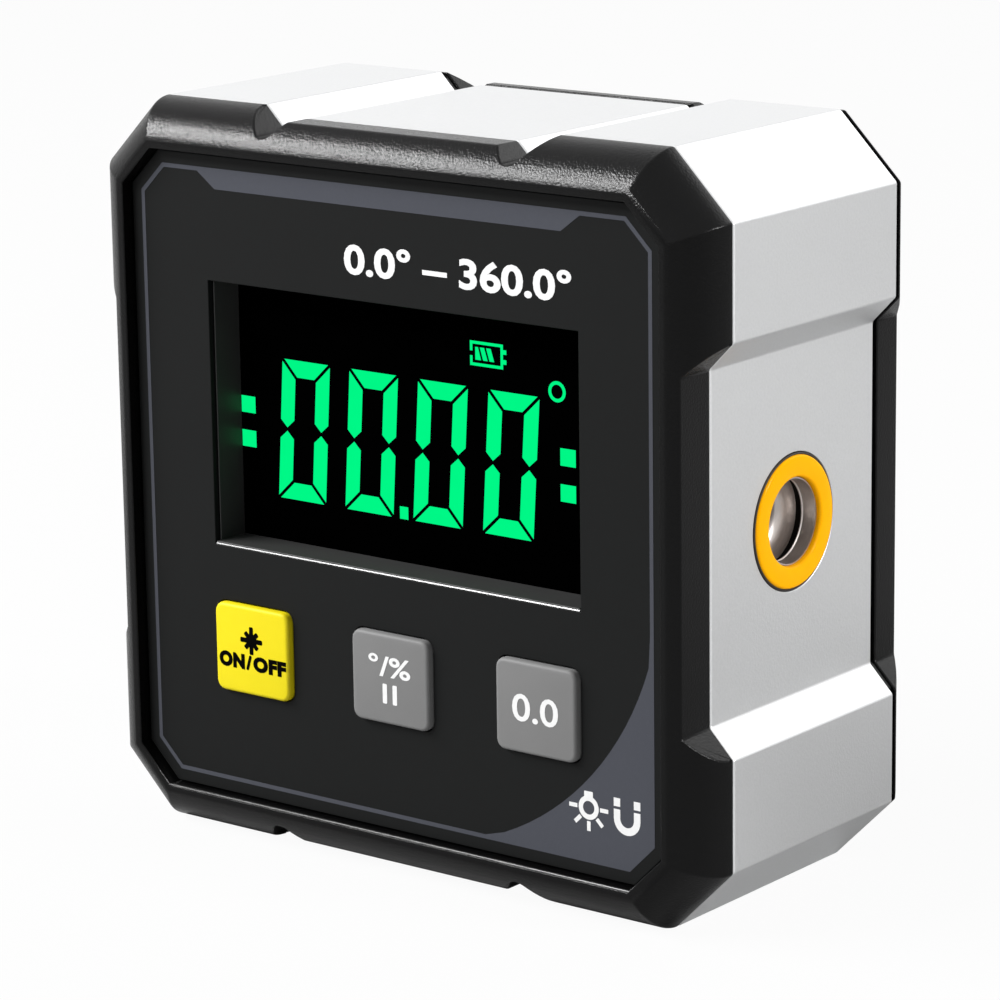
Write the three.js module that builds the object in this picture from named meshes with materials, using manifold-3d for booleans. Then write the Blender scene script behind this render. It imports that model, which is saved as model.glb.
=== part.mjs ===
// Digital angle gauge: a square aluminium frame closed by a plastic bezel in front and a
// plastic cover behind, with a sunk display, three keys, a lamp in its right side,
// magnets in its base and two cells behind a door in its back.
// Millimetres, +Z up, the display faces -Y, and the origin is the middle of the base.

import * as THREE from "three";
import { mergeVertices } from "three/addons/utils/BufferGeometryUtils.js";
import Module from "manifold-3d";

const wasm = await Module();
wasm.setup();

// Outline of the body, seen from the front
const bodyWidth = 60;
const bodyHeight = 60;
const cornerCut = 5.2;
const waistDepth = 2.1;
const waistEdge = 15.85;
const waistFloorEdge = 13.7;
const blockEdge = 14.5;
const platformEdge = 10.35;
const platformSink = 0.8;
const grooveRadius = 1;

// Frame, and the shells in front of it and behind it
const frameDepth = 22;
const frameWall = 4.5;
const shellDepth = 4.3;
const rimWidth = 3.4;
const rimSweep = 0.42 * Math.PI;
const bezelWeb = 1.6;
const coverWeb = 1.8;
const spigotDepth = 1.5;
const spigotWall = 1.2;
const spigotGap = 0.15;

// Label
const labelInset = 3.9;
const labelGap = 0.2;
const labelSink = 1;
const labelThickness = 0.6;

// Window and display
const windowSideMargin = 11.8;
const windowTopMargin = 14.05;
const windowBottomMargin = 24.65;
const windowDepth = 3.3;
const wellWall = 1;
const glassBorder = 1.2;
const glassLedge = 1.2;
const glassThickness = 1.1;
const backlightInset = 0.2;
const holderWall = 0.8;
const holderGap = 0.15;
const holderSetback = 0.2;
const connectorThickness = 1.1;
const connectorInset = 2.4;

// Keys and their switches
const keyWidth = 7.7;
const keyHeight = 7.3;
const keyRadius = 1;
const keySoftening = 0.25;
const keyPitch = 14.3;
const keyBottomMargin = 16.3;
const keyProud = 0.55;
const keyGap = 0.25;
const keyFlange = 0.7;
const keyFlangeThickness = 0.8;
const keyRest = 0.1;
const keyTravel = 0.5;
const switchSize = 4.6;
const switchHeight = 2.4;
const plungerRadius = 1.2;
const plungerGap = 0.25;
const plungerDip = 0.8;
const plungerRoom = 0.3;

// Board and what it carries
const boardSetback = 4;
const boardThickness = 1.2;
const boardEdgeGap = 0.5;
const boardBossGap = 0.4;
const chipSize = 7;
const chipHeight = 1.2;
const chipSide = 8.5;
const chipRise = 13;
const sensorSize = 3;
const sensorHeight = 0.9;
const sensorSide = 2;
const crystalWidth = 3.2;
const crystalHeight = 1.5;
const crystalThickness = 0.8;
const crystalGap = 1.4;

// Screws
const caseScrewInset = 7.7;
const caseBossRadius = 2.3;
const caseBossReach = 8;
const caseShankRadius = 0.95;
const caseHeadRadius = 1.9;
const caseHeadHeight = 1.6;
const caseHeadSink = 0.5;
const caseHeadGap = 0.3;
const caseCollarWall = 1;
const caseCollarDepth = 2;
const caseThreadDepth = 4.6;
const boardBossRadius = 1.8;
const boardShankRadius = 0.75;
const boardHeadRadius = 1.5;
const boardHeadHeight = 1.1;
const boardThreadDepth = 3.4;
const boardScrewInset = 7.2;
const boardScrewTopMargin = 16;
const screwGap = 0.2;
const screwTipRoom = 0.4;
const driveWidth = 0.5;
const driveShare = 0.6;

// Lamp in the right side
const ringRadius = 5.3;
const ringBore = 3.4;
const ringSeat = 1.2;
const ringProud = 0.55;
const ringGap = 0.2;
const barrelRadius = 4.1;
const barrelGap = 0.2;
const barrelLength = 12;
const barrelMouthRadius = 3.2;
const barrelMouthDepth = 2.2;
const barrelGrooveRadius = 3.6;
const barrelGrooveWidth = 0.8;
const barrelStepRadius = 3;
const barrelConeDepth = 1.6;
const barrelThroatRadius = 2.3;
const barrelThroatDepth = 1.9;
const barrelFlangeRadius = 5;
const barrelFlangeThickness = 1;
const lensRadius = 2.8;
const lensThickness = 1.2;
const lensGap = 0.15;
const emitterRadius = 2.7;
const emitterGap = 0.2;
const emitterRoom = 0.5;
const lampBoardSize = 7.4;
const lampBoardThickness = 1;

// Magnets in the base
const magnetRadius = 3;
const magnetThickness = 2.5;
const magnetSink = 0.3;
const magnetGap = 0.15;
const magnetSpacing = 11;

// Cells, their well and their contacts
const cellGap = 0.2;
const cellSpacing = 0.5;
const cellNubShare = 0.36;
const cellNubHeight = 1.2;
const cellsRoom = 4.1;
const wellLeftMargin = 11.75;
const wellEndMargin = 5.7;
const wellSideWall = 1;
const wellFloor = 1.2;
const wellShare = 0.7076;
const plateThickness = 0.4;
const plateInset = 0.75;
const plateSetback = 1.5;
const plateBackRoom = 2.4;
const plateGap = 0.1;
const plateTabWidth = 2;
const plateTabReach = 0.9;
const plateTabGap = 0.3;
const springShare = 0.42;
const springWire = 0.25;
const springTurns = 2.5;
const springGap = 0.15;

// Battery door
const doorThickness = 1.4;
const doorSideMargin = 1.2;
const doorEndMargin = 0.4;
const doorGap = 0.15;
const doorRadius = 1;
const tongueWidth = 8;
const tongueLength = 0.7;
const notchWidth = 11;
const notchLength = 1.4;
const toeWidth = 1.5;
const toeThickness = 1;
const toeDrop = 0.9;
const toeReach = 0.8;
const toeBlock = 1.2;
const toeSideGap = 0.1;
const toeSlotGap = 0.3;
const gripCount = 4;
const gripWidth = 0.6;
const gripPitch = 1.4;
const gripDepth = 0.4;
const gripLength = 12;
const gripMargin = 2.5;

// Leads
const leadRadius = 0.45;
const leadGap = 0.3;
const leadSpread = 1.6;
const leadBend = 2.4;
const leadRun = 7;

// How finely round shapes are cut, and how far a cutter runs past what it cuts
const rimSteps = 6;
const arcSteps = 4;
const roundSides = 28;
const softeningSteps = 2;
const screwSides = 20;
const leadSides = 8;
const leadSteps = 10;
const turnSteps = 8;
const wireSides = 5;
const overrun = 0.5;

// Distances from the middle of the body
const halfWidth = bodyWidth / 2;
const halfHeight = bodyHeight / 2;
const waistFloor = halfWidth - waistDepth;
const spigotInset = frameWall + spigotGap;
const hollowInset = spigotInset + spigotWall;
const caseScrewSide = halfWidth - caseScrewInset;
const caseScrewRise = halfHeight - caseScrewInset;
const boardScrewSide = halfWidth - boardScrewInset;
const boardScrewRise = halfHeight - boardScrewTopMargin;

// Window and keys, from their margins
const windowWidth = bodyWidth - 2 * windowSideMargin;
const windowHeight = bodyHeight - windowTopMargin - windowBottomMargin;
const windowRise = (windowBottomMargin - windowTopMargin) / 2;
const keyDrop = halfHeight - keyBottomMargin;

// Cells, from the room between the left side and the lamp
const barrelOuterEnd = waistFloor - ringSeat;
const barrelInnerEnd = barrelOuterEnd - barrelLength;
const lampEnd = barrelInnerEnd - lampBoardThickness;
const wellLeft = wellLeftMargin - halfWidth;
const wellHalfWidth = (lampEnd - wellSideWall - wellLeft) * wellShare / 2;
const wellRight = wellLeft + 2 * wellHalfWidth;
const wellHalfLength = halfHeight - wellEndMargin;
const cellsSide = wellLeft + wellHalfWidth;
const cellRadius = (wellHalfWidth - cellGap - cellSpacing / 2) / 2;
const cellNubRadius = cellRadius * cellNubShare;
const cellPitch = 2 * cellRadius + cellSpacing;
const cellLength = 2 * wellHalfLength - cellsRoom;
const plateWidth = 2 * (cellRadius - plateInset);
const plateHeight = 2 * (cellRadius + cellGap) - plateSetback - plateBackRoom;
const springRadius = cellRadius * springShare;
const doorHalfWidth = wellHalfWidth + doorSideMargin;
const doorHalfLength = wellHalfLength + doorEndMargin;

// Planes across the depth, from the front to the back
const frontJoint = -frameDepth / 2;
const backJoint = frameDepth / 2;
const lipFront = frontJoint - shellDepth;
const backFace = backJoint + shellDepth;
const labelFront = lipFront + labelSink;
const labelBack = labelFront + labelThickness;
const webBack = labelBack + bezelWeb;
const glassFront = labelFront + windowDepth;
const glassBack = glassFront + glassThickness;
const boardFront = frontJoint + boardSetback;
const boardBack = boardFront + boardThickness;
const coverInside = backFace - coverWeb;
const doorFront = backFace - doorThickness;
const cellsDepth = doorFront - cellGap - cellRadius;
const wellInside = cellsDepth - cellRadius - cellGap;
const wellFront = wellInside - wellFloor;
const caseSeat = backFace - caseHeadSink - caseHeadHeight;
const caseBossEnd = frontJoint + caseBossReach;

// Colours and finishes
const blackPlastic = { color: 0x171717, roughness: 0.5, metalness: 0 };
const labelFilm = { color: 0x242525, roughness: 0.55, metalness: 0 };
const displayBlack = { color: 0x020303, roughness: 0.12, metalness: 0 };
const satinAluminium = { color: 0xd8d9da, roughness: 0.42, metalness: 1 };
const turnedSteel = { color: 0xa09a90, roughness: 0.3, metalness: 1 };
const yellowRubber = { color: 0xf7e816, roughness: 0.45, metalness: 0 };
const greyRubber = { color: 0x858585, roughness: 0.5, metalness: 0 };
const amberPlastic = { color: 0xfcb90f, roughness: 0.3, metalness: 0 };
const greenBoard = { color: 0x1d5b34, roughness: 0.5, metalness: 0 };
const darkResin = { color: 0x1c1c1e, roughness: 0.6, metalness: 0 };
const whitePlastic = { color: 0xe8e8e4, roughness: 0.5, metalness: 0 };
const clearGlass = { color: 0xcfdfe6, roughness: 0.05, metalness: 0 };
const nickel = { color: 0xc4c2ba, roughness: 0.28, metalness: 1 };
const cellWrap = { color: 0x2f4f7a, roughness: 0.35, metalness: 0.2 };
const redLead = { color: 0xb3201a, roughness: 0.5, metalness: 0 };
const blackLead = { color: 0x161616, roughness: 0.5, metalness: 0 };

// Solids and meshes

function toSolid(geometry) {
  geometry.deleteAttribute("normal");
  geometry.deleteAttribute("uv");
  const merged = mergeVertices(geometry);
  return new wasm.Manifold(new wasm.Mesh({
    numProp: 3,
    vertProperties: Float32Array.from(merged.attributes.position.array),
    triVerts: Uint32Array.from(merged.index.array),
  }));
}

function toGeometry(solid) {
  const { vertProperties, triVerts } = solid.getMesh();
  const geometry = new THREE.BufferGeometry();
  geometry.setAttribute("position", new THREE.BufferAttribute(vertProperties, 3));
  geometry.setIndex(new THREE.BufferAttribute(triVerts, 1));
  geometry.computeVertexNormals();
  return geometry;
}

function place(group, name, solid, finish, x = 0, y = 0, z = 0) {
  const mesh = new THREE.Mesh(toGeometry(solid), new THREE.MeshStandardMaterial(finish));
  mesh.name = name;
  mesh.position.set(x, y, z);
  group.add(mesh);
}

function box(x0, x1, y0, y1, z0, z1) {
  const geometry = new THREE.BoxGeometry(x1 - x0, y1 - y0, z1 - z0);
  geometry.translate((x0 + x1) / 2, (y0 + y1) / 2, (z0 + z1) / 2);
  return toSolid(geometry);
}

// A round rod along Y, from y0 to y1
function rod(radius, y0, y1, x = 0, z = 0, sides = roundSides) {
  const geometry = new THREE.CylinderGeometry(radius, radius, y1 - y0, sides);
  geometry.translate(x, (y0 + y1) / 2, z);
  return toSolid(geometry);
}

// A round rod along Z, from z0 to z1
function upright(radius, z0, z1, x, y) {
  const geometry = new THREE.CylinderGeometry(radius, radius, z1 - z0, roundSides);
  geometry.rotateX(Math.PI / 2);
  geometry.translate(x, y, (z0 + z1) / 2);
  return toSolid(geometry);
}

// A closed profile of [radius, distance] turned round the X axis; distance runs along +X
function turnedAlongX(profile, startX) {
  const points = profile.map(([radius, distance]) => new THREE.Vector2(radius, distance));
  const geometry = new THREE.LatheGeometry(points, roundSides);
  geometry.rotateZ(-Math.PI / 2);
  geometry.translate(startX, 0, 0);
  return toSolid(geometry);
}

// An outline of [x, z] points stretched along Y, from y0 to y1, with holes left in it
function prism(outline, y0, y1, holes = [], softening = 0) {
  const toPoints = (points) => points.map(([x, z]) => new THREE.Vector2(x, z));
  const shape = new THREE.Shape(toPoints(outline));
  shape.holes = holes.map((hole) => new THREE.Path(toPoints(hole)));
  const geometry = new THREE.ExtrudeGeometry(shape, {
    depth: y1 - y0 - 2 * softening,
    bevelEnabled: softening > 0,
    bevelThickness: softening,
    bevelSize: softening,
    bevelOffset: -softening,
    bevelSegments: softeningSteps,
  });
  geometry.rotateX(Math.PI / 2);
  geometry.translate(0, y1 - softening, 0);
  return toSolid(geometry);
}

// A skin over convex outlines of as many points each, in order of rising y
function loft(sections) {
  const count = sections[0].outline.length;
  const positions = sections.flatMap(({ y, outline }) => outline.flatMap(([x, z]) => [x, y, z]));
  const triangles = [];
  for (let ring = 0; ring + 1 < sections.length; ring++) {
    for (let corner = 0; corner < count; corner++) {
      const next = (corner + 1) % count;
      const a = ring * count + corner;
      const b = ring * count + next;
      triangles.push(a, a + count, b + count, a, b + count, b);
    }
  }
  const last = (sections.length - 1) * count;
  for (let corner = 1; corner + 1 < count; corner++) {
    triangles.push(0, corner, corner + 1);
    triangles.push(last, last + corner + 1, last + corner);
  }
  const geometry = new THREE.BufferGeometry();
  geometry.setAttribute("position", new THREE.Float32BufferAttribute(positions, 3));
  geometry.setIndex(triangles);
  return toSolid(geometry);
}

// A round section carried along a curve
function tube(curve, radius, sides, steps) {
  const points = Array.from({ length: sides }, (_, side) => {
    const angle = (side / sides) * 2 * Math.PI;
    return new THREE.Vector2(radius * Math.cos(angle), radius * Math.sin(angle));
  });
  return toSolid(new THREE.ExtrudeGeometry(new THREE.Shape(points), { steps, extrudePath: curve }));
}

function addAll(solids) {
  return solids.reduce((sum, solid) => sum.add(solid));
}

function cutAll(solid, cutters) {
  return cutters.reduce((rest, cutter) => rest.subtract(cutter), solid);
}

// Outlines as [x, z] points, counterclockwise from the front

// The whole outline from its upper right quarter, which runs from the side to the top
function mirrored(quarter) {
  const upper = [...quarter, ...quarter.map(([x, z]) => [-x, z]).reverse()];
  return [...upper, ...upper.map(([x, z]) => [x, -z]).reverse()];
}

function cutRectangle(halfX, halfZ, cut) {
  return mirrored([[halfX, halfZ - cut], [halfX - cut, halfZ]]);
}

// The body's plain outline, without waists and grooves, drawn in by an even margin
function octagon(inset) {
  return cutRectangle(halfWidth - inset, halfHeight - inset, cornerCut - (2 - Math.SQRT2) * inset);
}

function rectangle(halfX, halfZ, x = 0, z = 0) {
  return [[x + halfX, z - halfZ], [x + halfX, z + halfZ], [x - halfX, z + halfZ], [x - halfX, z - halfZ]];
}

function roundedRectangle(halfX, halfZ, radius, x = 0, z = 0) {
  const corner = Array.from({ length: arcSteps + 1 }, (_, step) => {
    const angle = (step / arcSteps) * Math.PI / 2;
    return [halfX - radius + radius * Math.cos(angle), halfZ - radius + radius * Math.sin(angle)];
  });
  return mirrored(corner).map(([px, pz]) => [px + x, pz + z]);
}

// The round bottom of a groove whose two walls stand at 45 degrees
function grooveBottom() {
  const apexX = (blockEdge + platformEdge - platformSink) / 2;
  const centreZ = halfHeight - (blockEdge - apexX) + grooveRadius * Math.SQRT2;
  return Array.from({ length: arcSteps + 1 }, (_, step) => {
    const angle = (0.5 - step / arcSteps) * Math.PI / 2;
    return [apexX + grooveRadius * Math.sin(angle), centreZ - grooveRadius * Math.cos(angle)];
  });
}

// The full outline: cut corners, a waist in each side, two grooves beside each platform
function bodyOutline() {
  return mirrored([
    [waistFloor, waistFloorEdge],
    [halfWidth, waistEdge],
    [halfWidth, halfHeight - cornerCut],
    [halfWidth - cornerCut, halfHeight],
    [blockEdge, halfHeight],
    ...grooveBottom(),
    [platformEdge, halfHeight - platformSink],
  ]);
}

// Places that several pieces share

const sideSigns = [-1, 1];
const keyNames = ["power", "hold", "zero"];

const keyPlaces = keyNames.map((name, index) => ({
  name,
  x: (index - (keyNames.length - 1) / 2) * keyPitch,
}));

const caseScrewPlaces = sideSigns.flatMap((up) =>
  sideSigns.map((side) => [side * caseScrewSide, up * caseScrewRise]));

const boardScrewPlaces = [
  ...sideSigns.map((side) => [side * boardScrewSide, boardScrewRise]),
  ...sideSigns.map((side) => [side * keyPitch / 2, -keyDrop]),
];

const magnetPlaces = sideSigns.flatMap((side) => sideSigns.map((back) => [
  side * (blockEdge + halfWidth - cornerCut) / 2,
  back * magnetSpacing / 2,
]));

function keyHole(x) {
  return roundedRectangle(keyWidth / 2 + keyGap, keyHeight / 2 + keyGap, keyRadius + keyGap, x, -keyDrop);
}

function windowHole() {
  return rectangle(windowWidth / 2, windowHeight / 2, 0, windowRise);
}

// Shells

// The bulging rim from the joint plane outwards; outward is -1 in front and 1 behind
function shellBlank(joint, outward) {
  const sections = Array.from({ length: rimSteps + 1 }, (_, step) => {
    const angle = (step / rimSteps) * rimSweep;
    const inset = rimWidth * (1 - Math.cos(angle)) / (1 - Math.cos(rimSweep));
    const depth = shellDepth * Math.sin(angle) / Math.sin(rimSweep);
    return { y: joint + outward * depth, outline: octagon(inset) };
  });
  if (outward < 0) sections.reverse();
  const first = sections[0].y;
  const last = sections[rimSteps].y;
  return loft(sections).intersect(prism(bodyOutline(), first, last));
}

function frontBezel() {
  const blank = shellBlank(frontJoint, -1);
  const spigot = prism(octagon(spigotInset), frontJoint - overrun, frontJoint + spigotDepth);
  const pocket = prism(octagon(labelInset - labelGap), lipFront - overrun, labelBack);
  const hollow = prism(octagon(hollowInset), webBack, frontJoint + spigotDepth + overrun);
  const shell = cutAll(blank.add(spigot), [pocket, hollow]);
  const wellOutline = rectangle(windowWidth / 2 + wellWall, windowHeight / 2 + wellWall, 0, windowRise);
  const well = prism(wellOutline, webBack - overrun, glassFront);
  const caseBosses = caseScrewPlaces.map(([x, z]) =>
    rod(caseBossRadius, webBack - overrun, caseBossEnd, x, z));
  const boardBosses = boardScrewPlaces.map(([x, z]) =>
    rod(boardBossRadius, webBack - overrun, boardFront, x, z));
  const caseHoleEnd = caseBossEnd - caseThreadDepth - screwTipRoom;
  const caseHoles = caseScrewPlaces.map(([x, z]) =>
    rod(caseShankRadius + screwGap, caseHoleEnd, caseBossEnd + overrun, x, z));
  const boardHoleEnd = boardFront - boardThreadDepth - screwTipRoom;
  const boardHoles = boardScrewPlaces.map(([x, z]) =>
    rod(boardShankRadius + screwGap, boardHoleEnd, boardFront + overrun, x, z));
  const window = prism(windowHole(), labelBack - overrun, glassFront + overrun);
  const keyHoles = keyPlaces.map(({ x }) => prism(keyHole(x), labelBack - overrun, webBack + overrun));
  return cutAll(addAll([shell, well, ...caseBosses, ...boardBosses]),
    [window, ...keyHoles, ...caseHoles, ...boardHoles]);
}

function labelPlate() {
  const holes = [windowHole(), ...keyPlaces.map(({ x }) => keyHole(x))];
  return prism(octagon(labelInset), labelFront, labelBack, holes);
}

function bodyFrame() {
  const ring = prism(bodyOutline(), frontJoint, backJoint, [octagon(frameWall)]);
  const lampSeat = turnedAlongX([[0, 0], [ringRadius + ringGap, 0],
    [ringRadius + ringGap, ringSeat + overrun], [0, ringSeat + overrun]], waistFloor - ringSeat);
  const lampBore = turnedAlongX([[0, 0], [barrelRadius + barrelGap, 0],
    [barrelRadius + barrelGap, frameWall], [0, frameWall]], halfWidth - frameWall - overrun);
  const magnetTop = magnetSink + magnetThickness - halfHeight;
  const magnetSeats = magnetPlaces.map(([x, y]) =>
    upright(magnetRadius + magnetGap, -halfHeight - overrun, magnetTop, x, y));
  return cutAll(ring, [lampSeat, lampBore, ...magnetSeats]);
}

function magnet() {
  return upright(magnetRadius, 0, magnetThickness, 0, 0);
}

// Display

function displayGlass() {
  const top = windowRise + windowHeight / 2 + glassBorder;
  const bottom = windowRise - windowHeight / 2 - glassBorder - glassLedge;
  const side = windowWidth / 2 + glassBorder;
  return box(-side, side, glassFront, glassBack, bottom, top);
}

function displayBacklight() {
  const top = windowRise + windowHeight / 2 + glassBorder - backlightInset;
  const bottom = windowRise - windowHeight / 2 - glassBorder + backlightInset;
  const side = windowWidth / 2 + glassBorder - backlightInset;
  return box(-side, side, glassBack, boardFront, bottom, top);
}

function displayConnector() {
  const bottom = windowRise - windowHeight / 2 - glassBorder - glassLedge + holderGap;
  const side = windowWidth / 2 + glassBorder - connectorInset;
  return box(-side, side, glassBack, boardFront, bottom, bottom + connectorThickness);
}

function displayHolder() {
  const side = windowWidth / 2 + glassBorder + holderGap;
  const halfLength = (windowHeight + 2 * glassBorder + glassLedge) / 2 + holderGap;
  const rise = windowRise - glassLedge / 2;
  const outer = rectangle(side + holderWall, halfLength + holderWall, 0, rise);
  return prism(outer, glassFront + holderSetback, boardFront, [rectangle(side, halfLength, 0, rise)]);
}

// Keys, each modelled round its own middle

function keyCap() {
  const flangeFront = webBack + keyRest;
  const cap = prism(roundedRectangle(keyWidth / 2, keyHeight / 2, keyRadius),
    labelFront - keyProud, flangeFront + keyFlangeThickness, [], keySoftening);
  const flange = prism(roundedRectangle(keyWidth / 2 + keyFlange, keyHeight / 2 + keyFlange, keyRadius),
    flangeFront, flangeFront + keyFlangeThickness);
  return cap.add(flange);
}

function keyPlunger() {
  return rod(plungerRadius, webBack + keyRest + keyFlangeThickness, boardFront - switchHeight + plungerDip);
}

function keySwitch() {
  const front = boardFront - switchHeight;
  const body = box(-switchSize / 2, switchSize / 2, front, boardFront, -switchSize / 2, switchSize / 2);
  const depth = plungerDip + keyTravel + plungerRoom;
  return body.subtract(rod(plungerRadius + plungerGap, front - overrun, front + depth));
}

// Board

function mainBoard() {
  const inset = frameWall + boardEdgeGap;
  const cornerReach = caseScrewSide + caseScrewRise - (caseBossRadius + boardBossGap) * Math.SQRT2;
  const cut = halfWidth - inset + halfHeight - inset - cornerReach;
  const plate = prism(cutRectangle(halfWidth - inset, halfHeight - inset, cut), boardFront, boardBack);
  return cutAll(plate, boardScrewPlaces.map(([x, z]) =>
    rod(boardShankRadius + screwGap, boardFront - overrun, boardBack + overrun, x, z)));
}

// A flat part soldered to the back of the board
function boardPart(halfX, halfZ, height) {
  return box(-halfX, halfX, boardBack, boardBack + height, -halfZ, halfZ);
}

// A screw along Y whose head rests at y = 0 and whose shank runs towards -Y
function screw(headRadius, headHeight, shankRadius, shankLength) {
  const head = rod(headRadius, 0, headHeight, 0, 0, screwSides);
  const shank = rod(shankRadius, -shankLength, overrun, 0, 0, screwSides);
  const arm = headRadius * driveShare;
  const depth = headHeight * driveShare;
  const drive = [
    box(-arm, arm, headHeight - depth, headHeight + overrun, -driveWidth / 2, driveWidth / 2),
    box(-driveWidth / 2, driveWidth / 2, headHeight - depth, headHeight + overrun, -arm, arm),
  ];
  return cutAll(head.add(shank), drive);
}

// Lamp, along X; distances run outwards from the inner end of each piece

function lampRing() {
  const crown = Array.from({ length: arcSteps * 2 + 1 }, (_, step) => {
    const angle = (step / (arcSteps * 2)) * Math.PI;
    const middle = (ringRadius + ringBore) / 2;
    const reach = (ringRadius - ringBore) / 2;
    return [middle + reach * Math.cos(angle), ringSeat + ringProud * Math.sin(angle)];
  });
  return turnedAlongX([[ringBore, 0], [ringRadius, 0], ...crown, [ringBore, 0]], waistFloor - ringSeat);
}

const lensSeat = barrelLength - barrelMouthDepth - barrelGrooveWidth - barrelConeDepth - barrelThroatDepth;

function lampBarrel() {
  const grooveOuter = barrelLength - barrelMouthDepth;
  const grooveInner = grooveOuter - barrelGrooveWidth;
  const throatOuter = grooveInner - barrelConeDepth;
  const rearBore = lensRadius + lensGap;
  const flangeOuter = halfWidth - frameWall - barrelInnerEnd;
  const flangeInner = flangeOuter - barrelFlangeThickness;
  return turnedAlongX([
    [rearBore, 0],
    [barrelRadius, 0],
    [barrelRadius, flangeInner],
    [barrelFlangeRadius, flangeInner],
    [barrelFlangeRadius, flangeOuter],
    [barrelRadius, flangeOuter],
    [barrelRadius, barrelLength],
    [barrelMouthRadius, barrelLength],
    [barrelMouthRadius, grooveOuter],
    [barrelGrooveRadius, grooveOuter],
    [barrelGrooveRadius, grooveInner],
    [barrelStepRadius, grooveInner],
    [barrelThroatRadius, throatOuter],
    [barrelThroatRadius, lensSeat],
    [rearBore, lensSeat],
    [rearBore, 0],
  ], barrelInnerEnd);
}

function lampLens() {
  return turnedAlongX([[0, 0], [lensRadius, 0], [lensRadius, lensThickness], [0, lensThickness]],
    barrelInnerEnd + lensSeat - lensThickness);
}

function lampEmitter() {
  const length = lensSeat - lensThickness - emitterGap - emitterRoom;
  return turnedAlongX([[0, 0], [emitterRadius, 0], [emitterRadius, length], [0, length]],
    barrelInnerEnd + emitterRoom);
}

function lampBoard() {
  const half = lampBoardSize / 2;
  return box(lampEnd, barrelInnerEnd, -half, half, -half, half);
}

function lampLead(rise) {
  const start = lampEnd - leadGap;
  const end = boardBack + leadGap;
  const curve = new THREE.CatmullRomCurve3([
    new THREE.Vector3(start, 0, rise),
    new THREE.Vector3(start - leadBend / 2, 0, rise),
    new THREE.Vector3(start - leadBend, end / 2, rise),
    new THREE.Vector3(start - leadBend, end, rise),
  ]);
  return tube(curve, leadRadius, leadSides, leadSteps);
}

// Cells and contacts, each modelled round the axis of its cell

function cell() {
  const shoulder = cellLength - cellNubHeight;
  const points = [[0, 0], [cellRadius, 0], [cellRadius, shoulder], [cellNubRadius, shoulder],
    [cellNubRadius, cellLength], [0, cellLength]].map(([radius, rise]) => new THREE.Vector2(radius, rise));
  const geometry = new THREE.LatheGeometry(points, roundSides);
  geometry.rotateX(Math.PI / 2);
  return toSolid(geometry);
}

const springHeight = cellsRoom - 2 * plateThickness - plateGap;

class Helix extends THREE.Curve {
  getPoint(share) {
    const angle = share * springTurns * 2 * Math.PI;
    const rise = springHeight - 2 * (springWire + springGap);
    return new THREE.Vector3(springRadius * Math.cos(angle), springRadius * Math.sin(angle), share * rise);
  }
}

function contactSpring() {
  const helix = new Helix();
  const steps = springTurns * turnSteps;
  const points = helix.getPoints(steps);
  const gaps = points.flatMap((point, index) =>
    points.slice(index + turnSteps / 2).map((other) => point.distanceTo(other) - 2 * springWire));
  console.log(`contact spring: least gap between turns ${Math.min(...gaps).toFixed(2)} mm`);
  return tube(helix, springWire, wireSides, steps);
}

const plateNear = wellInside + plateSetback;

function contactPlate(halfX) {
  return box(-halfX, halfX, plateNear, plateNear + plateHeight, 0, plateThickness);
}

function tabbedPlate() {
  const tab = box(-plateTabWidth / 2, plateTabWidth / 2, wellFront - plateTabReach, plateNear + overrun,
    0, plateThickness);
  return contactPlate(plateWidth / 2).add(tab);
}

function batteryLead(x) {
  const rise = plateThickness / 2 - wellHalfLength;
  const start = wellFront - plateTabReach - leadGap;
  const end = boardBack + leadGap;
  const curve = new THREE.CatmullRomCurve3([
    new THREE.Vector3(x, start, rise),
    new THREE.Vector3(x, (start + end) / 2, rise + leadRadius),
    new THREE.Vector3(x, end, rise + leadRun),
  ]);
  return tube(curve, leadRadius, leadSides, leadSteps);
}

// Back

const toeCentre = wellHalfWidth - toeSideGap - toeWidth / 2;
const toeBack = doorFront - toeDrop;
const toeFront = toeBack - toeThickness;

function doorOutline(gap) {
  return roundedRectangle(doorHalfWidth + gap, doorHalfLength + gap, doorRadius, cellsSide, 0);
}

function batteryDoor() {
  const plate = prism(doorOutline(0), doorFront, backFace);
  const tongue = box(cellsSide - tongueWidth / 2, cellsSide + tongueWidth / 2, doorFront, backFace,
    doorHalfLength - overrun, doorHalfLength + tongueLength);
  const blockStart = toeSideGap - wellHalfLength;
  const blockEnd = blockStart + toeBlock;
  const toes = sideSigns.flatMap((side) => {
    const left = cellsSide + side * toeCentre - toeWidth / 2;
    const right = left + toeWidth;
    return [
      box(left, right, toeFront, doorFront + overrun, blockStart, blockEnd),
      box(left, right, toeFront, toeBack, -wellHalfLength - toeReach, blockEnd),
    ];
  });
  const grips = Array.from({ length: gripCount }, (_, index) => {
    const z = doorHalfLength - gripMargin - index * gripPitch;
    return box(cellsSide - gripLength / 2, cellsSide + gripLength / 2, backFace - gripDepth,
      backFace + overrun, z - gripWidth / 2, z + gripWidth / 2);
  });
  return cutAll(addAll([plate, tongue, ...toes]), grips);
}

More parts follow.
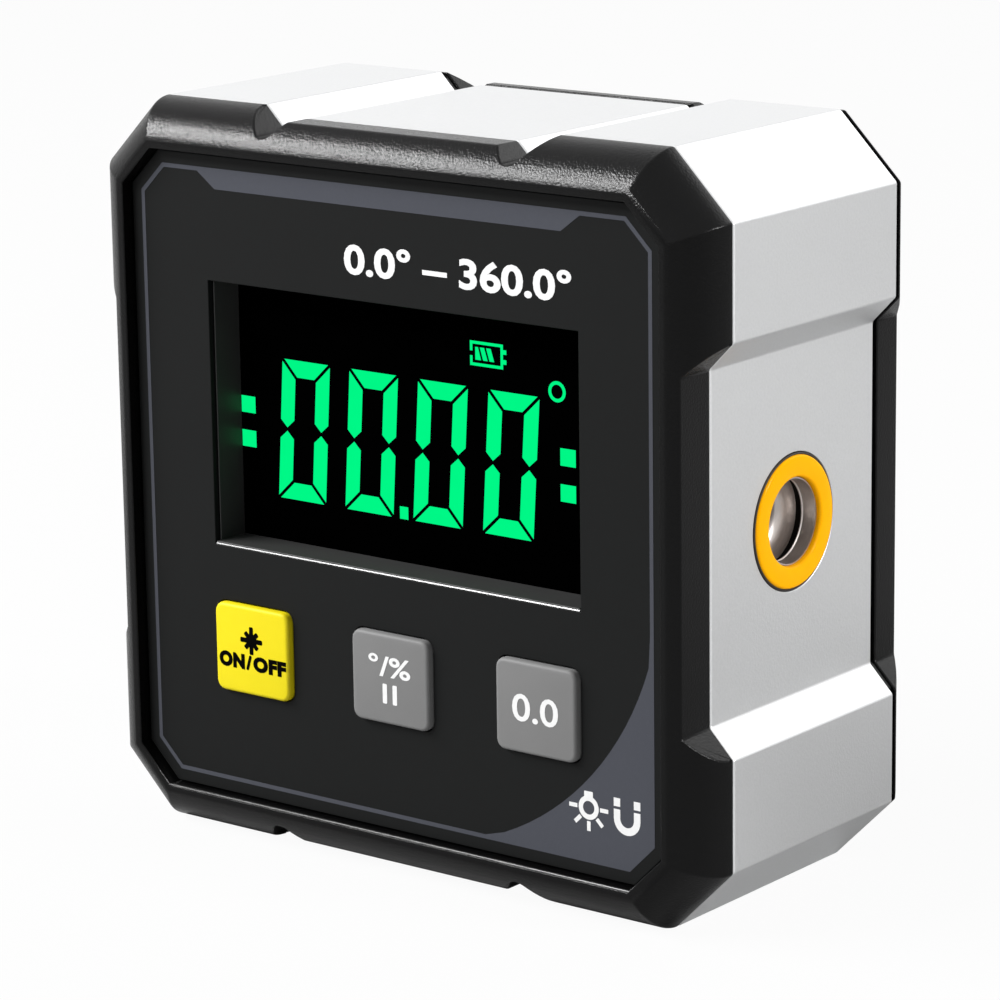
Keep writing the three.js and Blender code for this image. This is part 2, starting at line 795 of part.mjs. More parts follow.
function backCover() {
  const end = wellHalfLength + wellSideWall;
  const blank = shellBlank(backJoint, 1);
  const spigot = prism(octagon(spigotInset), backJoint - spigotDepth, backJoint + overrun);
  const hollow = prism(octagon(hollowInset), backJoint - spigotDepth - overrun, coverInside);
  const shell = blank.add(spigot).subtract(hollow);
  const well = box(wellLeft - wellSideWall, wellRight + wellSideWall, wellFront, coverInside + overrun,
    -end, end);
  const collarRadius = caseHeadRadius + caseHeadGap + caseCollarWall;
  const posts = caseScrewPlaces.flatMap(([x, z]) => [
    rod(caseBossRadius, caseBossEnd, caseSeat, x, z),
    rod(collarRadius, caseSeat - caseCollarDepth, coverInside + overrun, x, z),
  ]);
  const inside = box(wellLeft, wellRight, wellInside, backFace + overrun, -wellHalfLength, wellHalfLength);
  const doorSeat = prism(doorOutline(doorGap), doorFront, backFace + overrun);
  const notch = box(cellsSide - notchWidth / 2, cellsSide + notchWidth / 2, doorFront, backFace + overrun,
    doorHalfLength - overrun, doorHalfLength + notchLength);
  const toeSlots = sideSigns.map((side) => {
    const x = cellsSide + side * toeCentre;
    const half = toeWidth / 2 + toeSideGap / 2;
    const slotFront = toeFront - toeSlotGap;
    const slotBack = toeBack + toeSlotGap;
    return box(x - half, x + half, slotFront, slotBack, -end - overrun, overrun - wellHalfLength);
  });
  const tabSlots = sideSigns.map((side) => {
    const x = cellsSide + side * cellPitch / 2;
    const half = plateTabWidth / 2 + plateTabGap;
    return box(x - half, x + half, wellFront - overrun, wellInside + overrun,
      -wellHalfLength, -wellHalfLength + plateThickness + plateTabGap);
  });
  const screwHoles = caseScrewPlaces.flatMap(([x, z]) => [
    rod(caseShankRadius + screwGap, caseBossEnd - overrun, caseSeat + overrun, x, z),
    rod(caseHeadRadius + caseHeadGap, caseSeat, backFace + overrun, x, z),
  ]);
  return cutAll(addAll([shell, well, ...posts]),
    [inside, doorSeat, notch, ...toeSlots, ...tabSlots, ...screwHoles]);
}

// Assembly; everything is modelled about the middle of the body, which stands on z = 0

const angleGauge = new THREE.Group();
const body = new THREE.Group();
body.position.z = halfHeight;
angleGauge.add(body);

function addShells() {
  place(body, "front_bezel", frontBezel(), blackPlastic);
  place(body, "label_plate", labelPlate(), labelFilm);
  place(body, "body_frame", bodyFrame(), satinAluminium);
  place(body, "back_cover", backCover(), blackPlastic);
  place(body, "battery_door", batteryDoor(), blackPlastic);
}

function addDisplay() {
  place(body, "display_glass", displayGlass(), displayBlack);
  place(body, "display_backlight", displayBacklight(), whitePlastic);
  place(body, "display_connector", displayConnector(), greyRubber);
  place(body, "display_holder", displayHolder(), blackPlastic);
}

function addKeys() {
  for (const { name, x } of keyPlaces) {
    const station = new THREE.Group();
    station.position.set(x, 0, -keyDrop);
    body.add(station);
    place(station, `${name}_key`, keyCap(), name === keyNames[0] ? yellowRubber : greyRubber);
    place(station, `${name}_plunger`, keyPlunger(), whitePlastic);
    place(station, `${name}_switch`, keySwitch(), nickel);
  }
}

function addBoard() {
  place(body, "main_board", mainBoard(), greenBoard);
  place(body, "controller_chip", boardPart(chipSize / 2, chipSize / 2, chipHeight), darkResin,
    chipSide, 0, chipRise);
  place(body, "tilt_sensor", boardPart(sensorSize / 2, sensorSize / 2, sensorHeight), darkResin,
    sensorSide);
  place(body, "clock_crystal", boardPart(crystalWidth / 2, crystalHeight / 2, crystalThickness), nickel,
    chipSide, 0, chipRise - chipSize / 2 - crystalGap);
}

function addScrews() {
  const boardLength = boardThickness + boardThreadDepth;
  boardScrewPlaces.forEach(([x, z], index) => {
    place(body, `board_screw_${index + 1}`,
      screw(boardHeadRadius, boardHeadHeight, boardShankRadius, boardLength), nickel, x, boardBack, z);
  });
  const caseLength = caseSeat - caseBossEnd + caseThreadDepth;
  caseScrewPlaces.forEach(([x, z], index) => {
    place(body, `case_screw_${index + 1}`,
      screw(caseHeadRadius, caseHeadHeight, caseShankRadius, caseLength), nickel, x, caseSeat, z);
  });
}

function addLamp() {
  place(body, "lamp_ring", lampRing(), amberPlastic);
  place(body, "lamp_barrel", lampBarrel(), turnedSteel);
  place(body, "lamp_lens", lampLens(), clearGlass);
  place(body, "lamp_emitter", lampEmitter(), nickel);
  place(body, "lamp_board", lampBoard(), greenBoard);
  place(body, "lamp_lead_red", lampLead(leadSpread), redLead);
  place(body, "lamp_lead_black", lampLead(-leadSpread), blackLead);
}

function addMagnets() {
  magnetPlaces.forEach(([x, y], index) => {
    place(body, `base_magnet_${index + 1}`, magnet(), nickel, x, y, -halfHeight + magnetSink);
  });
}

function addCells() {
  const [lowerX, upperX] = sideSigns.map((side) => cellsSide + side * cellPitch / 2);
  const plateTop = plateThickness - wellHalfLength;
  const cellBottom = plateTop + springHeight;
  place(body, "battery_1", cell(), cellWrap, lowerX, cellsDepth, cellBottom);
  const turned = new THREE.Group();
  turned.rotation.y = Math.PI;
  turned.position.set(upperX, cellsDepth, -cellBottom);
  body.add(turned);
  place(turned, "battery_2", cell(), cellWrap);
  place(body, "contact_spring_lower", contactSpring(), nickel,
    lowerX, cellsDepth, plateTop + springWire + springGap);
  place(body, "contact_spring_upper", contactSpring(), nickel,
    upperX, cellsDepth, -cellBottom + springWire + springGap);
  place(body, "contact_plate_negative", tabbedPlate(), nickel, lowerX, 0, -wellHalfLength);
  place(body, "contact_plate_positive", tabbedPlate(), nickel, upperX, 0, -wellHalfLength);
  place(body, "contact_plate_bridge", contactPlate((cellPitch + plateWidth) / 2), nickel,
    cellsSide, 0, wellHalfLength - plateThickness);
  place(body, "battery_lead_black", batteryLead(lowerX), blackLead);
  place(body, "battery_lead_red", batteryLead(upperX), redLead);
}

addShells();
addDisplay();
addKeys();
addBoard();
addScrews();
addLamp();
addMagnets();
addCells();

export default angleGauge;
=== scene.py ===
# Digital angle gauge: fine shapes and finishes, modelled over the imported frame.
# Metres, +Z up, the display faces -Y, and the origin is the middle of the base.

import math

import bmesh
import bpy
from bpy.props import FloatProperty, FloatVectorProperty, IntProperty, PointerProperty
from mathutils import Matrix, Vector


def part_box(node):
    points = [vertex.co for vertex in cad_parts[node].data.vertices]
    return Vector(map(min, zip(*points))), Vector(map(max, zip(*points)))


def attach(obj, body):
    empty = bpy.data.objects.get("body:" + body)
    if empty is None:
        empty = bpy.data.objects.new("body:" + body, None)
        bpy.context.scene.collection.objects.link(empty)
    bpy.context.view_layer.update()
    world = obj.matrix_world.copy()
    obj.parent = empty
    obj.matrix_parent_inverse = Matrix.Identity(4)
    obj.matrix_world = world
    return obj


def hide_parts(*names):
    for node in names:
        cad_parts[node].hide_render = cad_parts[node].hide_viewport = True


bl_info = {
    "name": "Digital angle gauge",
    "version": (1, 0, 0),
    "blender": (4, 5, 0),
    "location": "View3D > Sidebar > Gauge",
    "description": "Models the fine shapes and finishes of a digital angle gauge over its frame",
    "category": "Object",
}

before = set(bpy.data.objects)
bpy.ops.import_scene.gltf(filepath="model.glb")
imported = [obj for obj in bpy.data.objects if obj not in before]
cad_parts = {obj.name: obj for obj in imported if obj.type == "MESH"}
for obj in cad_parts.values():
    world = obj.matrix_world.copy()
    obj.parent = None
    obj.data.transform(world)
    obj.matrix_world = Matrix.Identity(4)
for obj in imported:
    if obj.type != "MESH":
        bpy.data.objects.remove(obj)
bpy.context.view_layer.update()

MM = 0.001
HOUSING = "housing"
KEY_NAMES = ("power", "hold", "zero")
SIDES = (-1, 1)


def span(node):
    """The lowest and highest corners of a CAD node, measured from the middle of the body."""
    low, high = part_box(node)
    middle = Vector((0, 0, MIDDLE_Z))
    return low - middle, high - middle


def centre(node):
    """The middle of a CAD node, measured from the middle of the body."""
    low, high = span(node)
    return (low + high) / 2


def upright(node, z):
    """The point at some height on the upright axis of a CAD node."""
    middle = centre(node)
    return middle.x, middle.y, z


# Outer faces are trimmed by a hair, so that rounding stays inside. Joined shapes overlap, and a cut goes past
# the face that it opens, by OVER or, where there is room, by FAR.
TRIM = 0.01 * MM
OVER = 0.5 * MM
FAR = 1 * MM

# Main places, all from the frame
MIDDLE_Z = (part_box("body_frame")[0].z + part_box("body_frame")[1].z) / 2
BODY = span("body_frame")
HALF_WIDTH = BODY[1].x - TRIM
HALF_HEIGHT = BODY[1].z - TRIM
FRONT_JOINT = BODY[0].y
BACK_JOINT = BODY[1].y
LIP_FRONT = span("front_bezel")[0].y + TRIM
BACK_FACE = span("back_cover")[1].y - TRIM
LABEL = span("label_plate")
GLASS = span("display_glass")
BOARD = span("main_board")
DOOR = span("battery_door")
RING = span("lamp_ring")
BARREL = span("lamp_barrel")
CASE_SCREWS = [f"case_screw_{number}" for number in range(1, 5)]
BOARD_SCREWS = [f"board_screw_{number}" for number in range(1, 5)]
MAGNETS = [f"base_magnet_{number}" for number in range(1, 5)]
TABBED_PLATES = ("contact_plate_negative", "contact_plate_positive")


# Sizes and colours that a user may change


def length(name, description, millimetres):
    """A length that is written in millimetres and kept in metres."""
    return FloatProperty(name=name, description=description, default=millimetres * MM, unit="LENGTH",
                         precision=5)


def colour(name, description, red, green, blue):
    """A colour of a finish, as linear red, green and blue."""
    return FloatVectorProperty(name=name, description=description, default=(red, green, blue),
                               subtype="COLOR", min=0, max=1)


class GaugeOutline(bpy.types.PropertyGroup):
    """The outline that the frame and both shells share, seen from the front."""

    corner_cut: length("Corner cut", "How far each corner of the square is cut off", 5.2)
    waist_depth: length("Waist depth", "Depth of the recess in each side", 2.1)
    waist_edge: length("Waist edge", "Height above the middle at which the recess starts", 15.85)
    waist_floor_edge: length("Waist floor edge", "Height above the middle at which its floor ends", 13.7)
    block_edge: length("Block edge", "Distance of the end blocks from the middle", 14.5)
    platform_edge: length("Platform edge", "Half the width of the platform between the grooves", 10.35)
    platform_sink: length("Platform sink", "How far the platform lies below the blocks", 0.8)
    groove_radius: length("Groove radius", "Radius of the round groove bottoms", 1.0)
    corner_round: length("Corner rounding", "Radius along the cut corners", 0.35)
    waist_round: length("Waist rounding", "Radius along the edges of the recess", 0.35)
    step_round: length("Step rounding", "Radius along the edges beside the grooves", 0.3)


class GaugeShells(bpy.types.PropertyGroup):
    """The aluminium frame and the black shells in front of it and behind it."""

    rim_width: length("Rim width", "How far the bulging rim draws in", 3.1)
    rim_sweep: FloatProperty(name="Rim sweep", description="Angle that the rim turns through",
                             default=0.36 * math.pi, subtype="ANGLE")
    cover_start: FloatProperty(name="Cover start", description="Angle that the cover's rim starts with",
                               default=0.25 * math.pi, subtype="ANGLE")
    cover_draw: length("Cover draw", "How far the cover draws in beside the shadow line", 0.17)
    rim_steps: IntProperty(name="Rim steps", description="Bands across the bezel's rim", default=13, min=4)
    cover_steps: IntProperty(name="Cover steps", description="Bands across the cover's rim", default=5, min=2)
    outer_part: length("Outer part", "Distance from the middle beyond which all edges are rounded", 26.5)
    shell_softness: length("Shell softness", "Rounding along the cut edges of the shells", 0.13)
    back_gap: length("Back gap", "Width of the shadow line between the frame and the cover", 0.5)
    gap_depth: length("Gap depth", "Depth of that shadow line", 0.5)
    edge_width: length("Edge width", "Width of the polished lower edges of the pocket and the well", 0.19)
    frame_softness: length("Frame softness", "Rounding along the front and back of the frame", 0.25)
    frame_wall: length("Frame wall", "Wall of the frame", 4.5)
    pocket_inset: length("Pocket inset", "Distance of the label's pocket from the side", 3.7)
    label_inset: length("Label inset", "Distance of the label from the side", 3.9)
    bezel_web: length("Bezel web", "Wall behind the label", 1.6)
    cover_web: length("Cover web", "Wall of the back", 1.8)
    spigot_gap: length("Spigot gap", "Clearance of the shells inside the frame", 0.15)
    spigot_wall: length("Spigot wall", "Wall of the ledge that centres a shell", 1.2)
    spigot_depth: length("Spigot depth", "Reach of that ledge into the frame", 1.5)
    window_wall: length("Window wall", "Wall of the well in front of the display", 1.0)
    lining_gap: length("Lining gap", "Clearance between the label and the lining of the well", 0.1)
    lining_wall: length("Lining wall", "Wall of that lining", 0.16)
    lining_sink: length("Lining sink", "How far the lining's top and right side start behind the label", 1.8)
    lining_left: length("Lining left", "How far the lining's left side starts behind the label", 0.4)
    seat_gap: length("Seat gap", "Clearance round the lamp's ring and barrel", 0.2)
    magnet_gap: length("Magnet gap", "Clearance round a magnet in the base", 0.15)


class GaugeScrews(bpy.types.PropertyGroup):
    """Screws, and the posts and holes for them."""

    case_post: length("Case post radius", "Radius of the posts for the case screws", 2.3)
    case_shank: length("Case shank radius", "Radius of a case screw's shank", 0.95)
    case_head_height: length("Case head height", "Height of a case screw's head", 1.6)
    case_head_sink: length("Case head sink", "How far the head lies below the back", 0.5)
    case_reach: length("Case reach", "Where the posts of both shells meet, from the front", 12.3)
    case_thread: length("Case thread depth", "How far a case screw reaches into the bezel's post", 4.6)
    board_post: length("Board post radius", "Radius of the posts for the board screws", 1.8)
    board_shank: length("Board shank radius", "Radius of a board screw's shank", 0.75)
    board_thread: length("Board thread depth", "How far a board screw reaches into its post", 3.4)
    tip_room: length("Tip room", "Space past the tip of a screw", 0.4)
    gap: length("Gap", "Clearance round a shank", 0.2)
    head_gap: length("Head gap", "Clearance round a head", 0.3)
    collar_wall: length("Collar wall", "Wall round a head", 1.0)
    collar_depth: length("Collar depth", "Height of that wall below the head's seat", 2.0)
    drive_width: length("Drive width", "Width of the cross in a head", 0.55)
    thread_pitch: length("Thread pitch", "Distance between the turns of a thread", 0.7)


class GaugeControls(bpy.types.PropertyGroup):
    """Display and keys."""

    glass_border: length("Glass border", "Glass hidden behind the rim of the window", 1.2)
    glass_ledge: length("Glass ledge", "Extra glass below, for the contacts", 1.2)
    key_flange: length("Key flange", "Flange round a key, behind the bezel", 0.7)
    key_flange_thickness: length("Flange thickness", "Thickness of that flange", 0.8)
    key_gap: length("Key gap", "Clearance between a key and its hole in the bezel", 0.25)
    key_label_gap: length("Key label gap", "Clearance between a key and its hole in the label", 0.12)
    key_radius: length("Key radius", "Radius of a key's corners", 0.8)
    key_softness: length("Key softness", "Rounding along a key's front edge", 0.3)
    digit_left: length("Digit left", "Lower left corner of the first digit", -14.28)
    digit_bottom: length("Digit bottom", "Height of the digits' feet above the middle", -1.67)
    digit_width: length("Digit width", "Width of a digit", 4.9)
    digit_height: length("Digit height", "Height of a digit", 11.4)
    digit_pitch: length("Digit pitch", "Distance from digit to digit", 6.92)
    digit_stroke: length("Digit stroke", "Width of a segment", 1.38)
    digit_gap: length("Digit gap", "Dark line between two segments", 0.28)
    digit_point: length("Digit point", "Length of the points at the waist of a digit", 0.63)
    digit_slant: FloatProperty(name="Digit slant", default=0.065,
                               description="Sideways lean of the digits per unit of height")
    print_depth: length("Print depth", "How far printed and lit shapes stand proud", 0.02)


class GaugeLabel(bpy.types.PropertyGroup):
    """Print on the label."""

    line_inset: length("Line inset", "Distance of the thin line from the side", 4.9)
    line_width: length("Line width", "Width of that line", 0.34)
    stripe_end: length("Stripe end", "Right end of the stripe's lower edge, from the middle", 16.78)
    stripe_foot: length("Stripe foot", "Height of the stripe's lower edge above the middle", 23.42)
    disc_radius: length("Disc radius", "Radius of the disc that bounds the grey corner", 25.48)
    bulb_radius: length("Bulb radius", "Outer radius of the light sign's bulb", 0.95)
    bulb_stroke: length("Bulb stroke", "Width of the bulb's line", 0.41)
    ray_start: length("Ray start", "Where a ray of the light sign starts", 1.24)
    ray_end: length("Ray end", "Where a ray of the light sign ends", 1.68)
    ray_width: length("Ray width", "Width of a ray", 0.33)
    magnet_stroke: length("Magnet stroke", "Width of the magnet sign's legs", 0.6)
    mark_width: length("Mark width", "Width of the range mark", 21.9)
    mark_height: length("Mark height", "Height of the range mark", 2.5)


class GaugeLamp(bpy.types.PropertyGroup):
    """The amber ring, and the turned barrel with the lamp."""

    ring_bore: length("Ring bore", "Radius of the ring's bore", 3.45)
    ring_seat: length("Ring seat", "Depth of the ring's seat in the frame", 1.2)
    ring_rounding: length("Ring rounding", "Rounding along both edges of the ring", 0.3)
    ring_trim: length("Ring trim", "How much smaller the ring's outer radius is than its box", 0.1)
    ring_drop: length("Ring drop", "How far the ring's face stays behind its box", 0.25)
    ring_crown: length("Ring crown", "How far the ring's middle bulges", 0.08)
    seal_width: length("Seal width", "Width of the thin dark seal round the ring", 0.13)
    seal_rise: length("Seal rise", "How far the seal stands proud of the frame", 0.05)
    barrel_radius: length("Barrel radius", "Outer radius of the barrel", 4.1)
    mouth_radius: length("Mouth radius", "Radius of the barrel's mouth", 3.3)
    mouth_depth: length("Mouth depth", "Depth of the mouth behind the ring", 0.3)
    mouth_collar: length("Mouth collar", "How far the mouth's thin collar reaches into the ring", 1.0)
    groove_radius: length("Groove radius", "Radius of the groove behind the mouth", 3.75)
    groove_width: length("Groove width", "Width of that groove", 0.75)
    lip_height: length("Lip height", "How far the fine lip behind the mouth stands in", 0.07)
    # The ring in the barrel's groove is painted shade: its near-black rubber stands for the groove's deep
    # shadow.
    painted_shade_radius: length("Packing radius", "Inner radius of the black rubber ring in the groove", 3.6)
    bowl_depth: length("Bowl depth", "Depth of the bowl behind the groove", 1.7)
    throat_radius: length("Throat radius", "Radius at the narrow end of the bowl", 2.5)
    lens_radius: length("Lens seat radius", "Radius of the seat behind the throat", 2.95)
    lens_depth: length("Lens seat depth", "Depth of that seat", 5.5)
    flange_radius: length("Flange radius", "Radius of the flange behind the frame's wall", 5.0)
    flange_thickness: length("Flange thickness", "Thickness of that flange", 1.0)


class GaugeCells(bpy.types.PropertyGroup):
    """The cell compartment in the back, and its door."""

    well_wall: length("Well wall", "Side wall of the compartment", 1.0)
    well_floor: length("Well floor", "Floor of the compartment", 1.2)
    well_inside: length("Well inside", "Depth at which the cells lie against the floor", 3.0)
    well_half_width: length("Well half width", "Half the width of the compartment", 10.95)
    well_half_length: length("Well half length", "Half the length of the compartment", 24.3)
    door_half_width: length("Door half width", "Half the width of the door", 12.15)
    door_half_length: length("Door half length", "Half the length of the door", 24.7)
    door_thickness: length("Door thickness", "Thickness of the door", 1.4)
    door_gap: length("Door gap", "Clearance round the door", 0.15)
    door_radius: length("Door radius", "Radius of the door's corners", 1.0)
    tongue_width: length("Tongue width", "Width of the tongue that the door is lifted by", 8.0)
    notch_width: length("Notch width", "Width of the notch for the tongue", 11.0)
    notch_length: length("Notch length", "Length of that notch", 1.4)
    toe_width: length("Toe width", "Width of a toe", 1.5)
    toe_thickness: length("Toe thickness", "Thickness of a toe", 1.0)
    toe_drop: length("Toe drop", "Depth of a toe below the door's plate", 0.9)
    toe_block: length("Toe block", "Length of the block that carries a toe", 1.2)
    toe_side_gap: length("Toe side gap", "Clearance beside a toe", 0.1)
    toe_slot_gap: length("Toe slot gap", "Clearance above and below a toe", 0.3)
    tab_slot_width: length("Tab slot width", "Width of the slot for a contact plate's tab", 2.6)
    tab_slot_height: length("Tab slot height", "Height of that slot", 0.5)
    grip_count: IntProperty(name="Grips", description="Grooves for the finger", default=4, min=1)
    grip_width: length("Grip width", "Width of a finger groove", 0.6)
    grip_pitch: length("Grip pitch", "Distance from groove to groove", 1.4)
    grip_depth: length("Grip depth", "Depth of a finger groove", 0.4)
    grip_length: length("Grip length", "Length of the finger grooves", 12.0)
    grip_margin: length("Grip margin", "Distance of the first groove from the door's end", 2.5)


class GaugeColours(bpy.types.PropertyGroup):
    """Colours of the finishes."""

    aluminium: colour("Aluminium", "Blasted frame", 0.725, 0.73, 0.735)
    shell: colour("Shell plastic", "Grained bezel, cover and door", 0.0022, 0.0022, 0.0023)
    lining: colour("Lining", "Lining of the well in front of the display", 0.030, 0.030, 0.030)
    label: colour("Label", "Dark printed film", 0.0070, 0.0074, 0.0074)
    print_grey: colour("Grey print", "Line, stripe and corner of the label", 0.053, 0.056, 0.068)
    print_white: colour("White print", "Signs on the label and on the grey keys", 0.71, 0.71, 0.71)
    print_black: colour("Black print", "Signs on the yellow key", 0.001, 0.001, 0.001)
    lit: colour("Lit segments", "Green of the display", 0.0, 0.955, 0.245)
    yellow: colour("Yellow key", "Rubber of the power key", 0.655, 0.545, 0.002)
    grey: colour("Grey key", "Rubber of the other keys", 0.162, 0.162, 0.162)
    amber: colour("Amber ring", "Glossy ring round the lamp", 1.0, 0.44, 0.001)
    barrel: colour("Lamp barrel", "Turned steel", 0.60, 0.55, 0.52)
    nickel: colour("Nickel", "Screws, magnets and contacts", 0.62, 0.60, 0.56)
    cell_wrap: colour("Cell wrap", "Printed sleeve of the cells", 0.028, 0.078, 0.19)


def level(name, description, value):
    """A plain number for the light or the floor."""
    return FloatProperty(name=name, description=description, default=value, min=0)


class GaugeStage(bpy.types.PropertyGroup):
    """Light and floor."""

    key_power: level("Key light", "Watts of the long light at the upper left in front", 8.5)
    side_power: level("Side light", "Watts of the light beside the right side", 3.3)
    back_power: level("Back light", "Watts of the light above and behind", 1.2)
    sky: level("Sky", "Strength of the even light from all around", 0.31)
    floor_tone: level("Floor tone", "Brightness of the floor", 0.43)
    floor_glow: level("Floor glow", "Share of plain white where the floor meets the camera", 0.95)


# Nodes


class Value:
    """An output of a node. Arithmetic on it adds Math nodes to the same tree."""

    def __init__(self, nodes, socket):
        self.nodes = nodes
        self.socket = socket

    def maths(self, operation, first, second=0.0, clamp=False):
        return self.nodes.node("Math", {0: first, 1: second}, operation=operation, use_clamp=clamp)

    def __add__(self, other):
        return self.maths("ADD", self, other)

    def __sub__(self, other):
        return self.maths("SUBTRACT", self, other)

    def __mul__(self, other):
        return self.maths("MULTIPLY", self, other)

    def __radd__(self, other):
        return self.maths("ADD", other, self)

    def __rsub__(self, other):
        return self.maths("SUBTRACT", other, self)

    def __rmul__(self, other):
        return self.maths("MULTIPLY", other, self)

    def __gt__(self, other):
        return self.maths("GREATER_THAN", self, other)

    def __lt__(self, other):
        return self.maths("LESS_THAN", self, other)

    def clamped(self):
        return self.maths("ADD", self, 0.0, clamp=True)

    def wave(self):
        return self.maths("SINE", self)


class Nodes:
    """A node tree that is written as Python expressions."""

    def __init__(self, tree):
        self.tree = tree

    def node(self, kind, inputs=None, output=0, stops=None, **settings):
        """Adds a node: first its settings and ramp stops, then the values or links of its inputs."""
        node = self.tree.nodes.new(f"ShaderNode{kind}")
        for setting, value in settings.items():
            setattr(node, setting, value)
        for index, (position, grey) in enumerate(stops or []):
            ramp = node.color_ramp.elements
            stop = ramp[index] if index < len(ramp) else ramp.new(position)
            stop.position = position
            stop.color = (grey, grey, grey, 1)
        for socket, value in (inputs or {}).items():
            self.join(node.inputs[socket], value)
        return Value(self, node.outputs[output])

    def join(self, socket, value):
        if isinstance(value, Value):
            self.tree.links.new(value.socket, socket)
        elif socket.type == "RGBA" and len(value) == 3:
            socket.default_value = (*value, 1)
        else:
            socket.default_value = value

    def blend(self, factor, first, second):
        """A colour between two others; the numbers are the Mix node's sockets for factor and colours."""
        return self.node("Mix", {0: factor, 6: first, 7: second}, output=2, data_type="RGBA")


class Finish(Nodes):
    """A material with one Principled shader and the nodes that vary it over a surface."""

    def __init__(self, name, **constants):
        self.material = bpy.data.materials.new(name)
        self.material.use_nodes = True
        super().__init__(self.material.node_tree)
        self.shader = self.tree.nodes["Principled BSDF"]
        for socket, value in constants.items():
            self.feed(socket, value)

    def feed(self, socket, value):
        """Sets or links an input of the shader, such as base_color."""
        names = {"ior_level": "Specular IOR Level", "ior": "IOR"}
        self.join(self.shader.inputs[names.get(socket, socket.replace("_", " ").title())], value)

    def place(self, stretch=(1, 1, 1), start=(0, 0, 0)):
        """The point on the piece in metres, measured from a start and then stretched."""
        point = self.node("TexCoord", output="Object")
        shift = tuple(-part * factor for part, factor in zip(start, stretch))
        return self.node("Mapping", {"Vector": point, "Location": shift, "Scale": stretch})

    def along(self, axis, start=(0, 0, 0)):
        """One coordinate of that point, in metres: X, Y or Z."""
        return self.node("SeparateXYZ", {"Vector": self.place(start=start)}, output=axis)

    def noise(self, grain, detail=2.0, roughness=0.5, stretch=(1, 1, 1)):
        """Noise between 0 and 1 whose lumps are about one grain across, in metres."""
        return self.node("TexNoise", {"Vector": self.place(stretch), "Scale": 1 / grain, "Detail": detail,
                                      "Roughness": roughness})

    def bump(self, height, depth, strength=1.0):
        """Lets a height between 0 and 1 tilt the surface; depth is in metres."""
        self.feed("normal", self.node("Bump", {"Height": height, "Distance": depth, "Strength": strength}))

    def vary(self, pattern, tone, shades, roughness, spread, depth, strength):
        """Lets one pattern vary the colour between two shades, the roughness and the surface together."""
        self.feed("base_color", self.blend(pattern, shade(tone, shades[0]), shade(tone, shades[1])))
        self.feed("roughness", roughness + spread * pattern)
        self.bump(pattern, depth, strength)
        return self


def shade(tone, factor):
    """A colour made darker or lighter by a factor."""
    return tuple(min(1.0, part * factor) for part in tone[:3])


# Finishes


def grained_plastic(name, tone):
    """Black moulding with a spark-eroded grain, a little smoother where it has been handled."""
    finish = Finish(name, ior_level=0.14)
    grain = finish.noise(0.17 * MM, detail=2.0, roughness=0.55)
    handled = finish.noise(9 * MM)
    finish.feed("base_color", finish.blend(grain, shade(tone, 0.7), shade(tone, 1.2)))
    finish.feed("roughness", 0.15 + 0.07 * grain + 0.05 * handled)
    finish.bump(grain, 0.05 * MM, 0.7)
    return finish


def printed_film(name, tone, roughness=0.42):
    """Smooth printed film with a very fine tooth."""
    finish = Finish(name, ior_level=0.085)
    tooth = finish.noise(0.12 * MM)
    drift = finish.noise(14 * MM)
    finish.feed("base_color", finish.blend(drift, shade(tone, 0.94), shade(tone, 1.06)))
    finish.feed("roughness", roughness + 0.08 * tooth)
    finish.bump(tooth, 0.004 * MM, 0.3)
    return finish


def ink(name, tone, shine=0.12):
    """Screen printing ink, slightly uneven in its coverage."""
    finish = Finish(name, ior_level=shine)
    cover = finish.noise(0.3 * MM, detail=3.0)
    return finish.vary(cover, tone, (0.93, 1.03), 0.5, 0.06, 0.003 * MM, 0.3)


def blasted_aluminium(tone):
    """Bead-blasted and clear anodised aluminium."""
    finish = Finish("blasted_aluminium", metallic=1.0)
    beads = finish.noise(0.24 * MM, detail=3.0, roughness=0.6)
    drift = finish.noise(11 * MM)
    tint = finish.blend(beads, shade(tone, 0.93), shade(tone, 1.07))
    finish.feed("base_color", finish.blend(0.3 * drift, tint, shade(tone, 0.96)))
    finish.feed("roughness", 0.36 + 0.08 * beads + 0.04 * drift)
    finish.bump(beads, 0.025 * MM, 0.5)
    return finish


def turned_steel(tone):
    """Turned metal: fine rings round the lamp's axis."""
    finish = Finish("turned_steel", metallic=1.0)
    rings = (finish.along("X") * (2 * math.pi / (0.16 * MM))).wave() * 0.5 + 0.5
    drift = finish.noise(0.6 * MM, stretch=(6, 1, 1))
    finish.feed("base_color", finish.blend(drift, shade(tone, 0.85), shade(tone, 1.1)))
    finish.feed("roughness", 0.30 + 0.06 * rings + 0.06 * drift)
    finish.bump(rings, 0.004 * MM, 0.2)
    return finish


def glossy_amber(tone):
    """Glossy moulded ring with a faint flow pattern."""
    finish = Finish("glossy_amber", ior_level=0.02, coat_roughness=0.1, coat_weight=0.07)
    flow = finish.noise(1.6 * MM)
    return finish.vary(flow, tone, (0.93, 1.04), 0.2, 0.08, 0.01 * MM, 0.25)


def key_rubber(name, tone):
    """Silicone rubber with a soft, fine grain."""
    finish = Finish(name, ior_level=0.22)
    grain = finish.noise(0.15 * MM, detail=3.0)
    drift = finish.noise(3 * MM)
    finish.feed("base_color", finish.blend(drift, shade(tone, 0.96), shade(tone, 1.04)))
    finish.feed("roughness", 0.5 + 0.1 * grain)
    finish.bump(grain, 0.01 * MM, 0.35)
    return finish


def display_black():
    """Front of the display: black, smooth, with the faintest haze."""
    finish = Finish("display_black", ior_level=0.0)
    haze = finish.noise(2.5 * MM)
    return finish.vary(haze, (0.0001, 0.0001, 0.0001), (1, 3), 0.3, 0.1, 0.001 * MM, 0.2)


